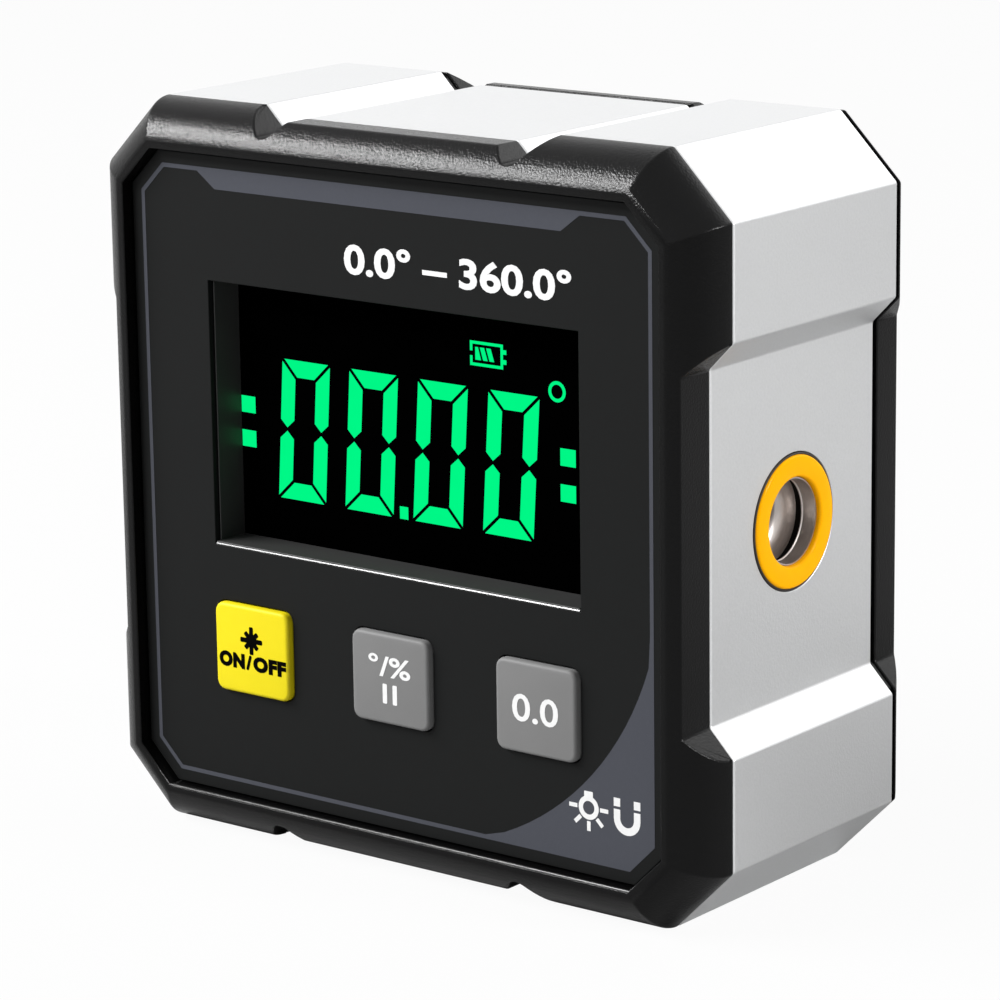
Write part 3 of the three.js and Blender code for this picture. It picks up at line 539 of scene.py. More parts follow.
def lit_segments(tone):
    """Segments lit from behind, a trace brighter towards their middle."""
    finish = Finish("lit_segments", base_color=(0, 0, 0), ior_level=0.0, roughness=0.6, emission_strength=1.0)
    glow = finish.noise(1.3 * MM)
    finish.feed("emission_color", finish.blend(glow, shade(tone, 0.96), tone))
    return finish


def nickel_plate(name, tone):
    """Nickel-plated steel with light handling marks."""
    finish = Finish(name, metallic=1.0)
    marks = finish.noise(0.5 * MM, detail=4.0)
    return finish.vary(marks, tone, (0.82, 1.1), 0.24, 0.18, 0.006 * MM, 0.3)


def solder_mask():
    """Green board lacquer over faint copper lines."""
    finish = Finish("solder_mask", ior_level=0.5)
    lines = (finish.along("X") * (2 * math.pi / (1.27 * MM))).wave() > 0.72
    haze = finish.noise(2 * MM)
    plain = finish.blend(haze, (0.010, 0.085, 0.030), (0.014, 0.105, 0.038))
    finish.feed("base_color", finish.blend(lines, plain, (0.022, 0.16, 0.055)))
    finish.feed("roughness", 0.32 + 0.12 * haze)
    finish.bump(lines, 0.02 * MM, 0.4)
    return finish


def moulded_resin():
    """Dark resin of a chip."""
    finish = Finish("moulded_resin", ior_level=0.4)
    grain = finish.noise(0.1 * MM, detail=3.0)
    finish.feed("base_color", finish.blend(grain, (0.010, 0.010, 0.011), (0.018, 0.018, 0.020)))
    finish.feed("roughness", 0.5 + 0.15 * grain)
    finish.bump(grain, 0.01 * MM, 0.4)
    return finish


def plain_moulding(name, tone, roughness, shine=0.5):
    """Unpainted moulded plastic."""
    finish = Finish(name, ior_level=shine)
    flow = finish.noise(2.2 * MM, detail=3.0)
    return finish.vary(flow, tone, (0.94, 1.03), roughness, 0.08, 0.006 * MM, 0.3)


def clear_lens():
    """Clear moulded lens with a trace of flow."""
    finish = Finish("clear_lens", base_color=(0.93, 0.97, 0.98), transmission_weight=0.9, ior=1.49)
    flow = finish.noise(1.2 * MM)
    finish.feed("roughness", 0.03 + 0.04 * flow)
    finish.bump(flow, 0.004 * MM, 0.2)
    return finish


def cell_sleeve(tone, low, high):
    """Shrink sleeve of a cell: dark blue with a pale band near its positive end."""
    finish = Finish("cell_sleeve", ior_level=0.5)
    rise = finish.along("Z")
    band = (rise > low) * (rise < high)
    print_grain = finish.noise(0.4 * MM)
    body = finish.blend(print_grain, shade(tone, 0.9), shade(tone, 1.1))
    finish.feed("base_color", finish.blend(band, body, (0.55, 0.56, 0.58)))
    finish.feed("roughness", 0.25 + 0.08 * print_grain)
    finish.bump(print_grain, 0.004 * MM, 0.3)
    return finish


def wire_cover(name, tone):
    """Soft cover of a wire."""
    finish = Finish(name, ior_level=0.4)
    flow = finish.noise(0.8 * MM, stretch=(1, 1, 0.3))
    return finish.vary(flow, tone, (0.85, 1.1), 0.4, 0.12, 0.005 * MM, 0.3)


# Outlines, as [x, z] points from the middle of the body, counterclockwise from the front


def mirrored(quarter):
    """The whole outline from its upper right quarter, which runs from the side to the top."""
    upper = [*quarter, *((-x, z) for x, z in reversed(quarter))]
    return [*upper, *((x, -z) for x, z in reversed(upper))]


def octagon(inset):
    """The square with cut corners, drawn in by an inset."""
    cut = bpy.context.scene.gauge_outline.corner_cut - (2 - math.sqrt(2)) * inset
    half_x = HALF_WIDTH - inset
    half_z = HALF_HEIGHT - inset
    return mirrored([(half_x, half_z - cut), (half_x - cut, half_z)])


def rectangle(left, right, bottom, top):
    """The corners of a rectangle, from the lower right one on."""
    return [(right, bottom), (right, top), (left, top), (left, bottom)]


def in_mm(points):
    """Points that are written in millimetres, in metres."""
    return [(x * MM, z * MM) for x, z in points]


def swept(distance, radius, along, across, degrees):
    """Profile points on part of an ellipse, which starts across the axis and turns along it."""
    return [(distance + along * math.sin(math.radians(part)), radius + across * math.cos(math.radians(part)))
            for part in degrees]


def drilled(start, end, radius):
    """The profile of a plain round hole."""
    return [(start, 0), (start, radius), (end, radius), (end, 0)]


def window(margin=0.0):
    """The window in front of the display, from the size of its glass."""
    controls = bpy.context.scene.gauge_controls
    side = GLASS[1].x - controls.glass_border + margin
    top = GLASS[1].z - controls.glass_border + margin
    bottom = GLASS[0].z + controls.glass_border + controls.glass_ledge - margin
    return rectangle(-side, side, bottom, top)


# Modelling tools; every shape is a bmesh until it is finished


def flat(points, y):
    """One flat face through [x, z] points, facing the front."""
    shape = bmesh.new()
    shape.faces.new([shape.verts.new((x, y, z)) for x, z in points])
    shape.normal_update()
    return shape


def deepen(shape, depth):
    """Stretches flat faces along +Y into a solid."""
    made = bmesh.ops.extrude_face_region(shape, geom=[*shape.faces, *shape.edges, *shape.verts],
                                         use_keep_orig=True)
    moved = [part for part in made["geom"] if isinstance(part, bmesh.types.BMVert)]
    bmesh.ops.translate(shape, verts=moved, vec=(0, depth, 0))
    bmesh.ops.recalc_face_normals(shape, faces=shape.faces)
    return shape


def slab(points, y0, y1):
    """A solid with an outline of [x, z] points and flat faces at two depths."""
    return deepen(flat(points, y0), y1 - y0)


def round_corners(shape, radius, turn=90, places=None, steps=4):
    """Rounds corners of a flat face: all, or those at places of its upper right quarter."""
    def wanted(corner):
        here = Vector((abs(corner.co.x), abs(corner.co.z)))
        return places is None or any((here - Vector(place)).length < 0.01 * MM for place in places)

    corners = [corner for corner in shape.verts if wanted(corner)]
    offset = radius * math.tan(math.radians(turn) / 2)
    bmesh.ops.bevel(shape, geom=corners, offset=offset, offset_type="OFFSET", segments=steps, profile=0.5,
                    affect="VERTICES", material=-1)
    return shape


def soften(shape, width, planes, steps=3):
    """Rounds the edges that lie in the planes at some depths."""
    edges = [edge for edge in shape.edges
             if any(all(abs(end.co.y - plane) < 0.001 * MM for end in edge.verts) for plane in planes)]
    bmesh.ops.bevel(shape, geom=edges, offset=width, offset_type="OFFSET", segments=steps, profile=0.5,
                    affect="EDGES", material=-1)
    return shape


def rounded_slab(left, right, bottom, top, y0, y1, radius, steps=4):
    """A rectangular solid with rounded corners as seen from the front."""
    return deepen(round_corners(flat(rectangle(left, right, bottom, top), y0), radius, steps=steps), y1 - y0)


def rod(radius, y0, y1, x, z, sides=40):
    """A round rod along Y."""
    shape = bmesh.new()
    place = Matrix.Translation((x, (y0 + y1) / 2, z)) @ Matrix.Rotation(math.pi / 2, 4, "X")
    bmesh.ops.create_cone(shape, cap_ends=True, segments=sides, radius1=radius, radius2=radius,
                          depth=y1 - y0, matrix=place)
    return shape


def turned(profile, place, axis, steps=64, closed=False):
    """A profile of (distance, radius) points spun round an axis that starts at a place."""
    shape = bmesh.new()
    points = [shape.verts.new((radius, 0, distance)) for distance, radius in profile]
    ends = points[1:] + points[:1] if closed else points[1:]
    edges = [shape.edges.new(pair) for pair in zip(points, ends)]
    bmesh.ops.spin(shape, geom=[*points, *edges], cent=(0, 0, 0), axis=(0, 0, 1), dvec=(0, 0, 0),
                   angle=2 * math.pi, steps=steps, use_merge=True, use_duplicate=False)
    turn = Vector((0, 0, 1)).rotation_difference(Vector(axis)).to_matrix().to_4x4()
    bmesh.ops.transform(shape, matrix=Matrix.Translation(place) @ turn, verts=shape.verts)
    return shape


def together(shapes):
    """One shape from several that don't touch."""
    whole = bmesh.new()
    for shape in shapes:
        part = to_mesh(shape)
        whole.from_mesh(part)
        bpy.data.meshes.remove(part)
    return whole


def to_mesh(shape, name="part"):
    """A mesh with outward faces from a shape, which is used up."""
    bmesh.ops.remove_doubles(shape, verts=shape.verts, dist=0.0001 * MM)
    bmesh.ops.recalc_face_normals(shape, faces=shape.faces)
    if shape.calc_volume(signed=True) < 0:
        bmesh.ops.reverse_faces(shape, faces=shape.faces)
    mesh = bpy.data.meshes.new(name)
    shape.to_mesh(mesh)
    shape.free()
    return mesh


def carve(blank, *steps):
    """Joins shapes to a blank or cuts them from it, in order; each step is an operation and a shape."""
    whole = bpy.data.objects.new("blank", to_mesh(blank))
    bpy.context.scene.collection.objects.link(whole)
    tools = []
    for operation, shape in steps:
        tool = bpy.data.objects.new("tool", to_mesh(shape))
        bpy.context.scene.collection.objects.link(tool)
        boolean = whole.modifiers.new(operation, "BOOLEAN")
        boolean.operation = operation
        boolean.solver = "EXACT"
        boolean.object = tool
        tools.append(tool)
    result = bpy.data.meshes.new_from_object(whole.evaluated_get(bpy.context.evaluated_depsgraph_get()))
    for used in (whole, *tools):
        mesh = used.data
        bpy.data.objects.remove(used)
        bpy.data.meshes.remove(mesh)
    carved = bmesh.new()
    carved.from_mesh(result)
    bpy.data.meshes.remove(result)
    return carved


def quartered(shape):
    """Cuts a carved shape along its middle planes and merges the flat scraps within each quarter."""
    for normal in ((1, 0, 0), (0, 0, 1)):
        everything = [*shape.verts, *shape.edges, *shape.faces]
        cut = bmesh.ops.bisect_plane(shape, geom=everything, dist=0.0001 * MM, plane_co=(0, 0, 0),
                                     plane_no=normal)
        for part in cut["geom_cut"]:
            if isinstance(part, bmesh.types.BMEdge):
                part.seam = True
    bmesh.ops.dissolve_limit(shape, angle_limit=math.radians(0.3), verts=shape.verts, edges=shape.edges,
                             delimit={"SEAM"})
    return shape


def mark_soft(shape, turn, wanted):
    """Marks the outward edges in the wanted places for the live bevel and keeps the other hard ones sharp."""
    shape.normal_update()
    layer = shape.edges.layers.float.new("bevel_weight_edge")
    for edge in shape.edges:
        hard = edge.is_manifold and edge.calc_face_angle() > math.radians(turn)
        rounded = hard and edge.is_convex and all(wanted(corner.co) for corner in edge.verts)
        edge[layer] = float(rounded)
        edge.smooth = rounded or not hard
    return shape


def piece(name, shape, finish, body, nodes=(), softness=0.0, softened_from=30, sharp_from=35,
          marked=False):
    """Turns a shape into a finished piece of the gauge, in its place above the base."""
    bmesh.ops.translate(shape, verts=shape.verts, vec=(0, 0, MIDDLE_Z))
    mesh = to_mesh(shape, name)
    mesh.polygons.foreach_set("use_smooth", [True] * len(mesh.polygons))
    mesh.materials.append(finish.material)
    made = bpy.data.objects.new(name, mesh)
    bpy.context.scene.collection.objects.link(made)
    if softness:
        bevel = made.modifiers.new("softness", "BEVEL")
        bevel.width = softness
        bevel.segments = 2
        bevel.limit_method = "WEIGHT" if marked else "ANGLE"
        bevel.angle_limit = math.radians(softened_from)
        bevel.use_clamp_overlap = False
        shading = made.modifiers.new("shading", "WEIGHTED_NORMAL")
        shading.keep_sharp = True
    else:
        mesh.set_sharp_from_angle(angle=math.radians(sharp_from))
    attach(made, body)
    if nodes:
        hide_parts(*nodes)
    return made


def dress(finish, *nodes):
    """Gives CAD nodes that stay a finish in place of their plain one."""
    for name in nodes:
        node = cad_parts[name]
        for slot in node.material_slots:
            slot.material = finish.material


# Shells and frame


def body_outline(y, growth=0.0):
    """The outline with waists and grooves as a flat face with rounded corners; its blocks may be grown."""
    outline = bpy.context.scene.gauge_outline
    half_x = HALF_WIDTH + growth
    half_z = HALF_HEIGHT + growth
    cut = outline.corner_cut + (2 - math.sqrt(2)) * growth
    waist_floor = HALF_WIDTH - outline.waist_depth
    platform = HALF_HEIGHT - outline.platform_sink
    apex_x = (outline.block_edge + outline.platform_edge - outline.platform_sink) / 2
    bottom_z = HALF_HEIGHT - (outline.block_edge - apex_x)
    waist_corners = [(waist_floor, outline.waist_floor_edge), (half_x, outline.waist_edge + growth)]
    cut_corners = [(half_x, half_z - cut), (half_x - cut, half_z)]
    step_corners = [(outline.block_edge + growth, half_z), (outline.platform_edge, platform)]
    groove = [(apex_x, bottom_z)]
    shape = flat(mirrored([*waist_corners, *cut_corners, step_corners[0], *groove, step_corners[1]]), y)
    round_corners(shape, outline.groove_radius, 90, groove, 8)
    round_corners(shape, outline.waist_round, 45, waist_corners, 5)
    round_corners(shape, outline.corner_round, 45, cut_corners, 4)
    return round_corners(shape, outline.step_round, 45, step_corners, 3)


def rim(joint, outward, steps, start=0.0, straight=0.0, draw=0.0):
    """The rim of a shell, nearly straight at first and bulging then; outward is -1 in front and 1 behind."""
    shells = bpy.context.scene.gauge_shells
    total = abs(LIP_FRONT - FRONT_JOINT) - straight
    end = shells.rim_sweep
    shape = flat(octagon(0), 0)
    face = shape.faces[:][0]
    insets = [(0, 0)]
    for step in range(steps + 1):
        angle = start + (end - start) * step / steps
        share = (math.cos(start) - math.cos(angle)) / (math.cos(start) - math.cos(end))
        rise = (math.sin(angle) - math.sin(start)) / (math.sin(end) - math.sin(start))
        insets.append((draw + (shells.rim_width - draw) * share, straight + total * rise))
    if not straight:
        insets = insets[1:]
    for (inset, depth), (next_inset, next_depth) in zip(insets, insets[1:]):
        bmesh.ops.inset_region(shape, faces=[face], thickness=next_inset - inset, use_even_offset=True,
                               use_boundary=True)
        bmesh.ops.translate(shape, verts=face.verts, vec=(0, depth - next_depth, 0))
    open_edges = [edge for edge in shape.edges if edge.is_boundary]
    bmesh.ops.edgeloop_fill(shape, edges=open_edges)
    bmesh.ops.scale(shape, vec=(1, -outward, 1), verts=shape.verts)
    bmesh.ops.translate(shape, vec=(0, joint, 0), verts=shape.verts)
    return shape


def outside(place):
    """Whether a place is in the outer part of the shells, where every edge is rounded."""
    return max(abs(place.x), abs(place.z)) > bpy.context.scene.gauge_shells.outer_part


def full_depth(outline_shape, low, high):
    """A solid between two depths from a flat outline at depth nought."""
    bmesh.ops.translate(outline_shape, vec=(0, low, 0), verts=outline_shape.verts)
    return deepen(outline_shape, high - low)


def polished_edge(name, finish, y, z, reach):
    """The polished lower edge of an opening: a thin bar along X whose front face tilts up."""
    shells = bpy.context.scene.gauge_shells
    tilt = math.radians(33)
    rise = shells.edge_width * math.cos(tilt)
    back = y + 0.3 * MM
    section = [(y, z - rise), (y + shells.edge_width * math.sin(tilt), z), (back, z), (back, z - rise)]
    shape = slab(section, -reach, reach)
    bmesh.ops.rotate(shape, matrix=Matrix.Rotation(math.pi / 2, 3, "Z"), verts=shape.verts)
    return piece(name, shape, finish, HOUSING)


def key_hole(name, y0, y1, margin):
    """The hole that a key stands in, or the key's own outline when the margin is nought."""
    controls = bpy.context.scene.gauge_controls
    low, high = span(f"{name}_key")
    inset = controls.key_flange - margin
    return rounded_slab(low.x + inset, high.x - inset, low.z + inset, high.z - inset, y0, y1,
                        controls.key_radius + margin)


def screw_post_rods(nodes, radius, y0, y1):
    """Round rods in line with some screws."""
    return together([rod(radius, y0, y1, centre(node).x, centre(node).z) for node in nodes])


def level_turned(profile, screw):
    """A profile of (depth, radius) points spun round the axis of a screw."""
    middle = centre(screw)
    return turned(profile, (middle.x, 0, middle.z), (0, 1, 0), 40)


class GAUGE_OT_bezel(bpy.types.Operator):
    """Models the front bezel: bulging rim, label pocket, window well, key holes and screw posts"""

    bl_idname = "gauge.bezel"
    bl_label = "Front bezel"

    def execute(self, context):
        shells = context.scene.gauge_shells
        screws = context.scene.gauge_screws
        controls = context.scene.gauge_controls
        web_back = LABEL[1].y + shells.bezel_web
        spigot_end = FRONT_JOINT + shells.spigot_depth
        spigot_inset = shells.frame_wall + shells.spigot_gap
        case_end = LIP_FRONT + screws.case_reach
        board_front = BOARD[0].y
        case_hole = case_end - screws.case_thread - screws.tip_room
        board_hole = board_front - screws.board_thread - screws.tip_room
        openings = [slab(window(), LABEL[1].y - OVER, GLASS[0].y + OVER)]
        for name in KEY_NAMES:
            openings.append(key_hole(name, LABEL[1].y - OVER, web_back + OVER, controls.key_gap))
        shape = carve(
            rim(FRONT_JOINT, -1, shells.rim_steps),
            ("INTERSECT", full_depth(body_outline(0, 0.05 * MM), LIP_FRONT - OVER, FRONT_JOINT + OVER)),
            ("UNION", slab(octagon(spigot_inset), FRONT_JOINT - OVER, spigot_end)),
            ("DIFFERENCE", slab(octagon(shells.pocket_inset), LIP_FRONT - OVER, LABEL[1].y)),
            ("DIFFERENCE", slab(octagon(spigot_inset + shells.spigot_wall), web_back, spigot_end + OVER)),
            ("UNION", slab(window(shells.window_wall), web_back - OVER, GLASS[0].y)),
            ("UNION", screw_post_rods(CASE_SCREWS, screws.case_post, web_back - OVER, case_end)),
            ("UNION", screw_post_rods(BOARD_SCREWS, screws.board_post, web_back - OVER, board_front)),
            ("DIFFERENCE", together(openings)),
            ("DIFFERENCE", screw_post_rods(CASE_SCREWS, screws.case_shank + screws.gap, case_hole,
                                           case_end + OVER)),
            ("DIFFERENCE", screw_post_rods(BOARD_SCREWS, screws.board_shank + screws.gap, board_hole,
                                           board_front + OVER)),
        )
        mark_soft(quartered(shape), 20, lambda place: place.y < LABEL[1].y - TRIM or outside(place))
        finish = grained_plastic("grained_bezel", context.scene.gauge_colours.shell)
        piece("bezel_shell", shape, finish, HOUSING, ["front_bezel"],
              softness=shells.shell_softness, marked=True)
        self.lining(context)
        self.edges(shells.pocket_inset)
        return {"FINISHED"}

    def edges(self, pocket_inset):
        """The polished lower edges of the label's pocket and of the well, which stand proud by a hair."""
        polished = plain_moulding("polished_edge", (0.02, 0.02, 0.02), 0.22)
        proud = 0.005 * MM
        lip = octagon(pocket_inset)
        foot = min(z for x, z in lip) + 0.01 * MM
        polished_edge("pocket_edge", polished, LIP_FRONT - proud, foot, lip[1][0])
        reach, sill = window()[0]
        polished_edge("well_edge", polished, LABEL[0].y - proud, sill + 0.1 * MM, reach)

    def lining(self, context):
        """The thin grey lining of the well, which comes right to the front at the left and below."""
        shells = context.scene.gauge_shells
        wall = shells.lining_wall
        front = LABEL[0].y + 0.03 * MM
        outer = window(-0.01 * MM)
        inner = window(-wall)
        below = slab(rectangle(outer[2][0], outer[0][0], outer[0][1], inner[0][1]), front, GLASS[0].y)
        left = slab(rectangle(outer[2][0], inner[2][0], outer[0][1], outer[1][1]), front + shells.lining_left,
                    GLASS[0].y)
        ring = carve(slab(outer, front + shells.lining_sink, GLASS[0].y),
                     ("DIFFERENCE", slab(inner, front, GLASS[0].y + FAR)))
        finish = plain_moulding("lining_plastic", context.scene.gauge_colours.lining, 0.4, 0.2)
        shape = quartered(carve(below, ("UNION", left), ("UNION", ring)))
        mark_soft(shape, 30, lambda place: place.y < GLASS[0].y - FAR)
        piece("well_lining", shape, finish, HOUSING, softness=0.06 * MM, marked=True)


class GAUGE_OT_frame(bpy.types.Operator):
    """Models the aluminium frame with its waists and grooves, and the seats of the lamp and the magnets"""

    bl_idname = "gauge.frame"
    bl_label = "Aluminium frame"

    def execute(self, context):
        shells = context.scene.gauge_shells
        lamp = context.scene.gauge_lamp
        ring = full_depth(body_outline(0), FRONT_JOINT, BACK_JOINT)
        soften(ring, shells.frame_softness, (FRONT_JOINT, BACK_JOINT))
        seat_radius = RING[1].z - lamp.ring_trim + shells.seat_gap
        bore_radius = lamp.barrel_radius + shells.seat_gap
        seat = drilled(RING[0].x, RING[1].x + 2 * FAR, seat_radius)
        bore = drilled(HALF_WIDTH - shells.frame_wall - FAR, RING[0].x + OVER, bore_radius)
        lamp_holes = [turned(profile, (0, 0, 0), (1, 0, 0), 72) for profile in (seat, bore)]
        magnets = []
        for node in MAGNETS:
            low, high = span(node)
            radius = (high.x - low.x) / 2 + shells.magnet_gap
            hole = drilled(0, high.z + HALF_HEIGHT + FAR, radius)
            magnets.append(turned(hole, upright(node, -HALF_HEIGHT - FAR), (0, 0, 1), 48))
        shape = carve(
            ring,
            ("DIFFERENCE", slab(octagon(shells.frame_wall), FRONT_JOINT - OVER, BACK_JOINT + OVER)),
            *(("DIFFERENCE", hole) for hole in lamp_holes),
            ("DIFFERENCE", together(magnets)),
        )
        finish = blasted_aluminium(context.scene.gauge_colours.aluminium)
        piece("frame_ring", shape, finish, HOUSING, ["body_frame"],
              softness=0.08 * MM, softened_from=40)
        return {"FINISHED"}


# Label


def bar(start, end, width, y0, y1, roundness=0.98):
    """A flat bar with more or less round ends, from one [x, z] point to another."""
    run = Vector(end) - Vector(start)
    reach = run.length / 2 + width / 2
    shape = rounded_slab(-reach, reach, -width / 2, width / 2, y0, y1, width / 2 * roundness)
    middle = (Vector(start) + Vector(end)) / 2
    turn = Matrix.Rotation(-math.atan2(run.y, run.x), 4, "Y")
    bmesh.ops.transform(shape, matrix=Matrix.Translation((middle.x, 0, middle.y)) @ turn, verts=shape.verts)
    return shape


def band(points, width, y0, y1):
    """A flat closed band of even width just inside an outline."""
    shape = flat(points, y0)
    inner = shape.faces[:][0]
    bmesh.ops.inset_region(shape, faces=[inner], thickness=width, use_even_offset=True, use_boundary=True)
    bmesh.ops.delete(shape, geom=[inner], context="FACES")
    return deepen(shape, y1 - y0)


def arc(radius, x, z, degrees):
    """Points on a circle at some angles, counterclockwise from the right."""
    return [(x + radius * math.cos(math.radians(part)), z + radius * math.sin(math.radians(part)))
            for part in degrees]


def circle(radius, x, z, sides=40):
    """The corners of a regular outline that stands for a circle."""
    return arc(radius, x, z, [360 / sides * index for index in range(sides)])


def writing(text, middle, width, height, y0, y1, weight=0.0, spacing=1.0):
    """Plain figures and signs from the built-in letters, fitted to a width and a height on the front."""
    letters = bpy.data.curves.new("letters", "FONT")
    letters.body = text
    letters.size = height
    letters.offset = weight
    letters.space_character = spacing
    letters.extrude = (y1 - y0) / 2
    letters.resolution_u = 4
    holder = bpy.data.objects.new("letters", letters)
    bpy.context.scene.collection.objects.link(holder)
    depsgraph = bpy.context.evaluated_depsgraph_get()
    mesh = bpy.data.meshes.new_from_object(holder.evaluated_get(depsgraph))
    shape = bmesh.new()
    shape.from_mesh(mesh)
    bpy.data.objects.remove(holder)
    bpy.data.curves.remove(letters)
    bpy.data.meshes.remove(mesh)
    low = Vector([min(corner.co[axis] for corner in shape.verts) for axis in range(3)])
    high = Vector([max(corner.co[axis] for corner in shape.verts) for axis in range(3)])
    size = high - low
    stretch = Matrix.Diagonal((width / size.x, height / size.y, (y1 - y0) / size.z, 1))
    stand = Matrix.Rotation(math.pi / 2, 4, "X")
    place = Matrix.Translation((middle[0], (y0 + y1) / 2, middle[1]))
    bmesh.ops.transform(shape, matrix=place @ stand @ stretch @ Matrix.Translation(-(low + high) / 2),
                        verts=shape.verts)
    return shape


class GAUGE_OT_label(bpy.types.Operator):
    """Models the label with its line, stripe, corner, signs and range mark"""

    bl_idname = "gauge.label"
    bl_label = "Label"

    def execute(self, context):
        shells = context.scene.gauge_shells
        controls = context.scene.gauge_controls
        colours = context.scene.gauge_colours
        front = LABEL[0].y
        back = LABEL[1].y
        openings = [slab(window(shells.lining_gap), front - OVER, back + OVER)]
        gap = controls.key_label_gap
        openings += [key_hole(name, front - OVER, back + OVER, gap) for name in KEY_NAMES]
        plate = carve(slab(octagon(shells.label_inset), front, back), ("DIFFERENCE", together(openings)))
        piece("label_film", plate, printed_film("label_film_dark", colours.label), HOUSING,
              ["label_plate"], softness=0.07 * MM, softened_from=40)

        y0 = front - controls.print_depth
        y1 = front + 0.1 * MM
        self.fields(context.scene.gauge_label, ink("grey_print", colours.print_grey), y0, y1)
        white = ink("white_print", colours.print_white)
        self.signs(context.scene.gauge_label, white, y0 - 0.01 * MM, y1)
        return {"FINISHED"}

    def fields(self, label, grey, y0, y1):
        """The grey line, the stripe at the top and the corner, which a disc bounds."""
        outline = octagon(label.line_inset)
        piece("label_line", band(outline, label.line_width, y0, y1), grey, HOUSING)
        edge = HALF_HEIGHT - label.line_inset - label.line_width
        foot = label.stripe_foot
        stripe = [(18.55 * MM, edge), (-19.1 * MM, edge), (-17.3 * MM, foot), (label.stripe_end, foot)]
        piece("label_stripe", slab(stripe, y0, y1), grey, HOUSING)
        disc = arc(label.disc_radius, 0.38 * MM, -0.95 * MM, range(-18, -67, -3))
        lower_right = octagon(label.line_inset + label.line_width)[-2:]
        corner = [(8.9 * MM, -edge), *reversed(disc), (edge, -6.3 * MM), *reversed(lower_right)]
        piece("label_corner", slab(corner, y0, y1), grey, HOUSING)

    def signs(self, label, white, y0, y1):
        """The light sign, the magnet sign and the range mark."""
        bulb = Vector((18.92, -20.72)) * MM
        half = label.bulb_stroke
        cap_low = bulb.y + 0.75 * MM
        cap_high = bulb.y + 1.3 * MM
        parts = [
            band(circle(label.bulb_radius, *bulb), label.bulb_stroke, y0, y1),
            rounded_slab(bulb.x - half, bulb.x + half, cap_low, cap_high, y0 - 0.01 * MM, y1, 0.06 * MM),
        ]
        for way in arc(1, 0, 0, (0, -45, -90, -135, -180)):
            ray = [bulb + Vector(way) * reach for reach in (label.ray_start, label.ray_end)]
            parts.append(bar(*ray, label.ray_width, y0, y1, 0.15))
        piece("sign_light", together(parts), white, HOUSING)
        self.magnet(white, label.magnet_stroke, y0, y1)
        mark = writing("0.0° – 360.0°", (6.8 * MM, 19.3 * MM), label.mark_width, label.mark_height, y0, y1,
                       0.07 * MM)
        piece("range_mark", mark, white, HOUSING)

    def magnet(self, white, stroke, y0, y1):
        """A horseshoe whose tips stand apart from its legs."""
        left, right, top, bottom = (part * MM for part in (21.29, 23.77, -19.45, -22.27))
        middle = (left + right) / 2
        outer = (right - left) / 2
        angles = [-180 / 14 * step for step in range(15)]
        bow, hollow = (arc(radius, middle, bottom + outer, angles) for radius in (outer, outer - stroke))
        tip_bottom = top - 0.66 * MM
        leg_top = tip_bottom - 0.22 * MM
        shape = [(right, leg_top), (right - stroke, leg_top), *hollow, (left + stroke, leg_top),
                 (left, leg_top), *reversed(bow)]
        parts = [slab(shape, y0, y1)]
        parts += [slab(rectangle(x, x + stroke, tip_bottom, top), y0, y1) for x in (left, right - stroke)]
        piece("sign_magnet", together(parts), white, HOUSING)


# Display


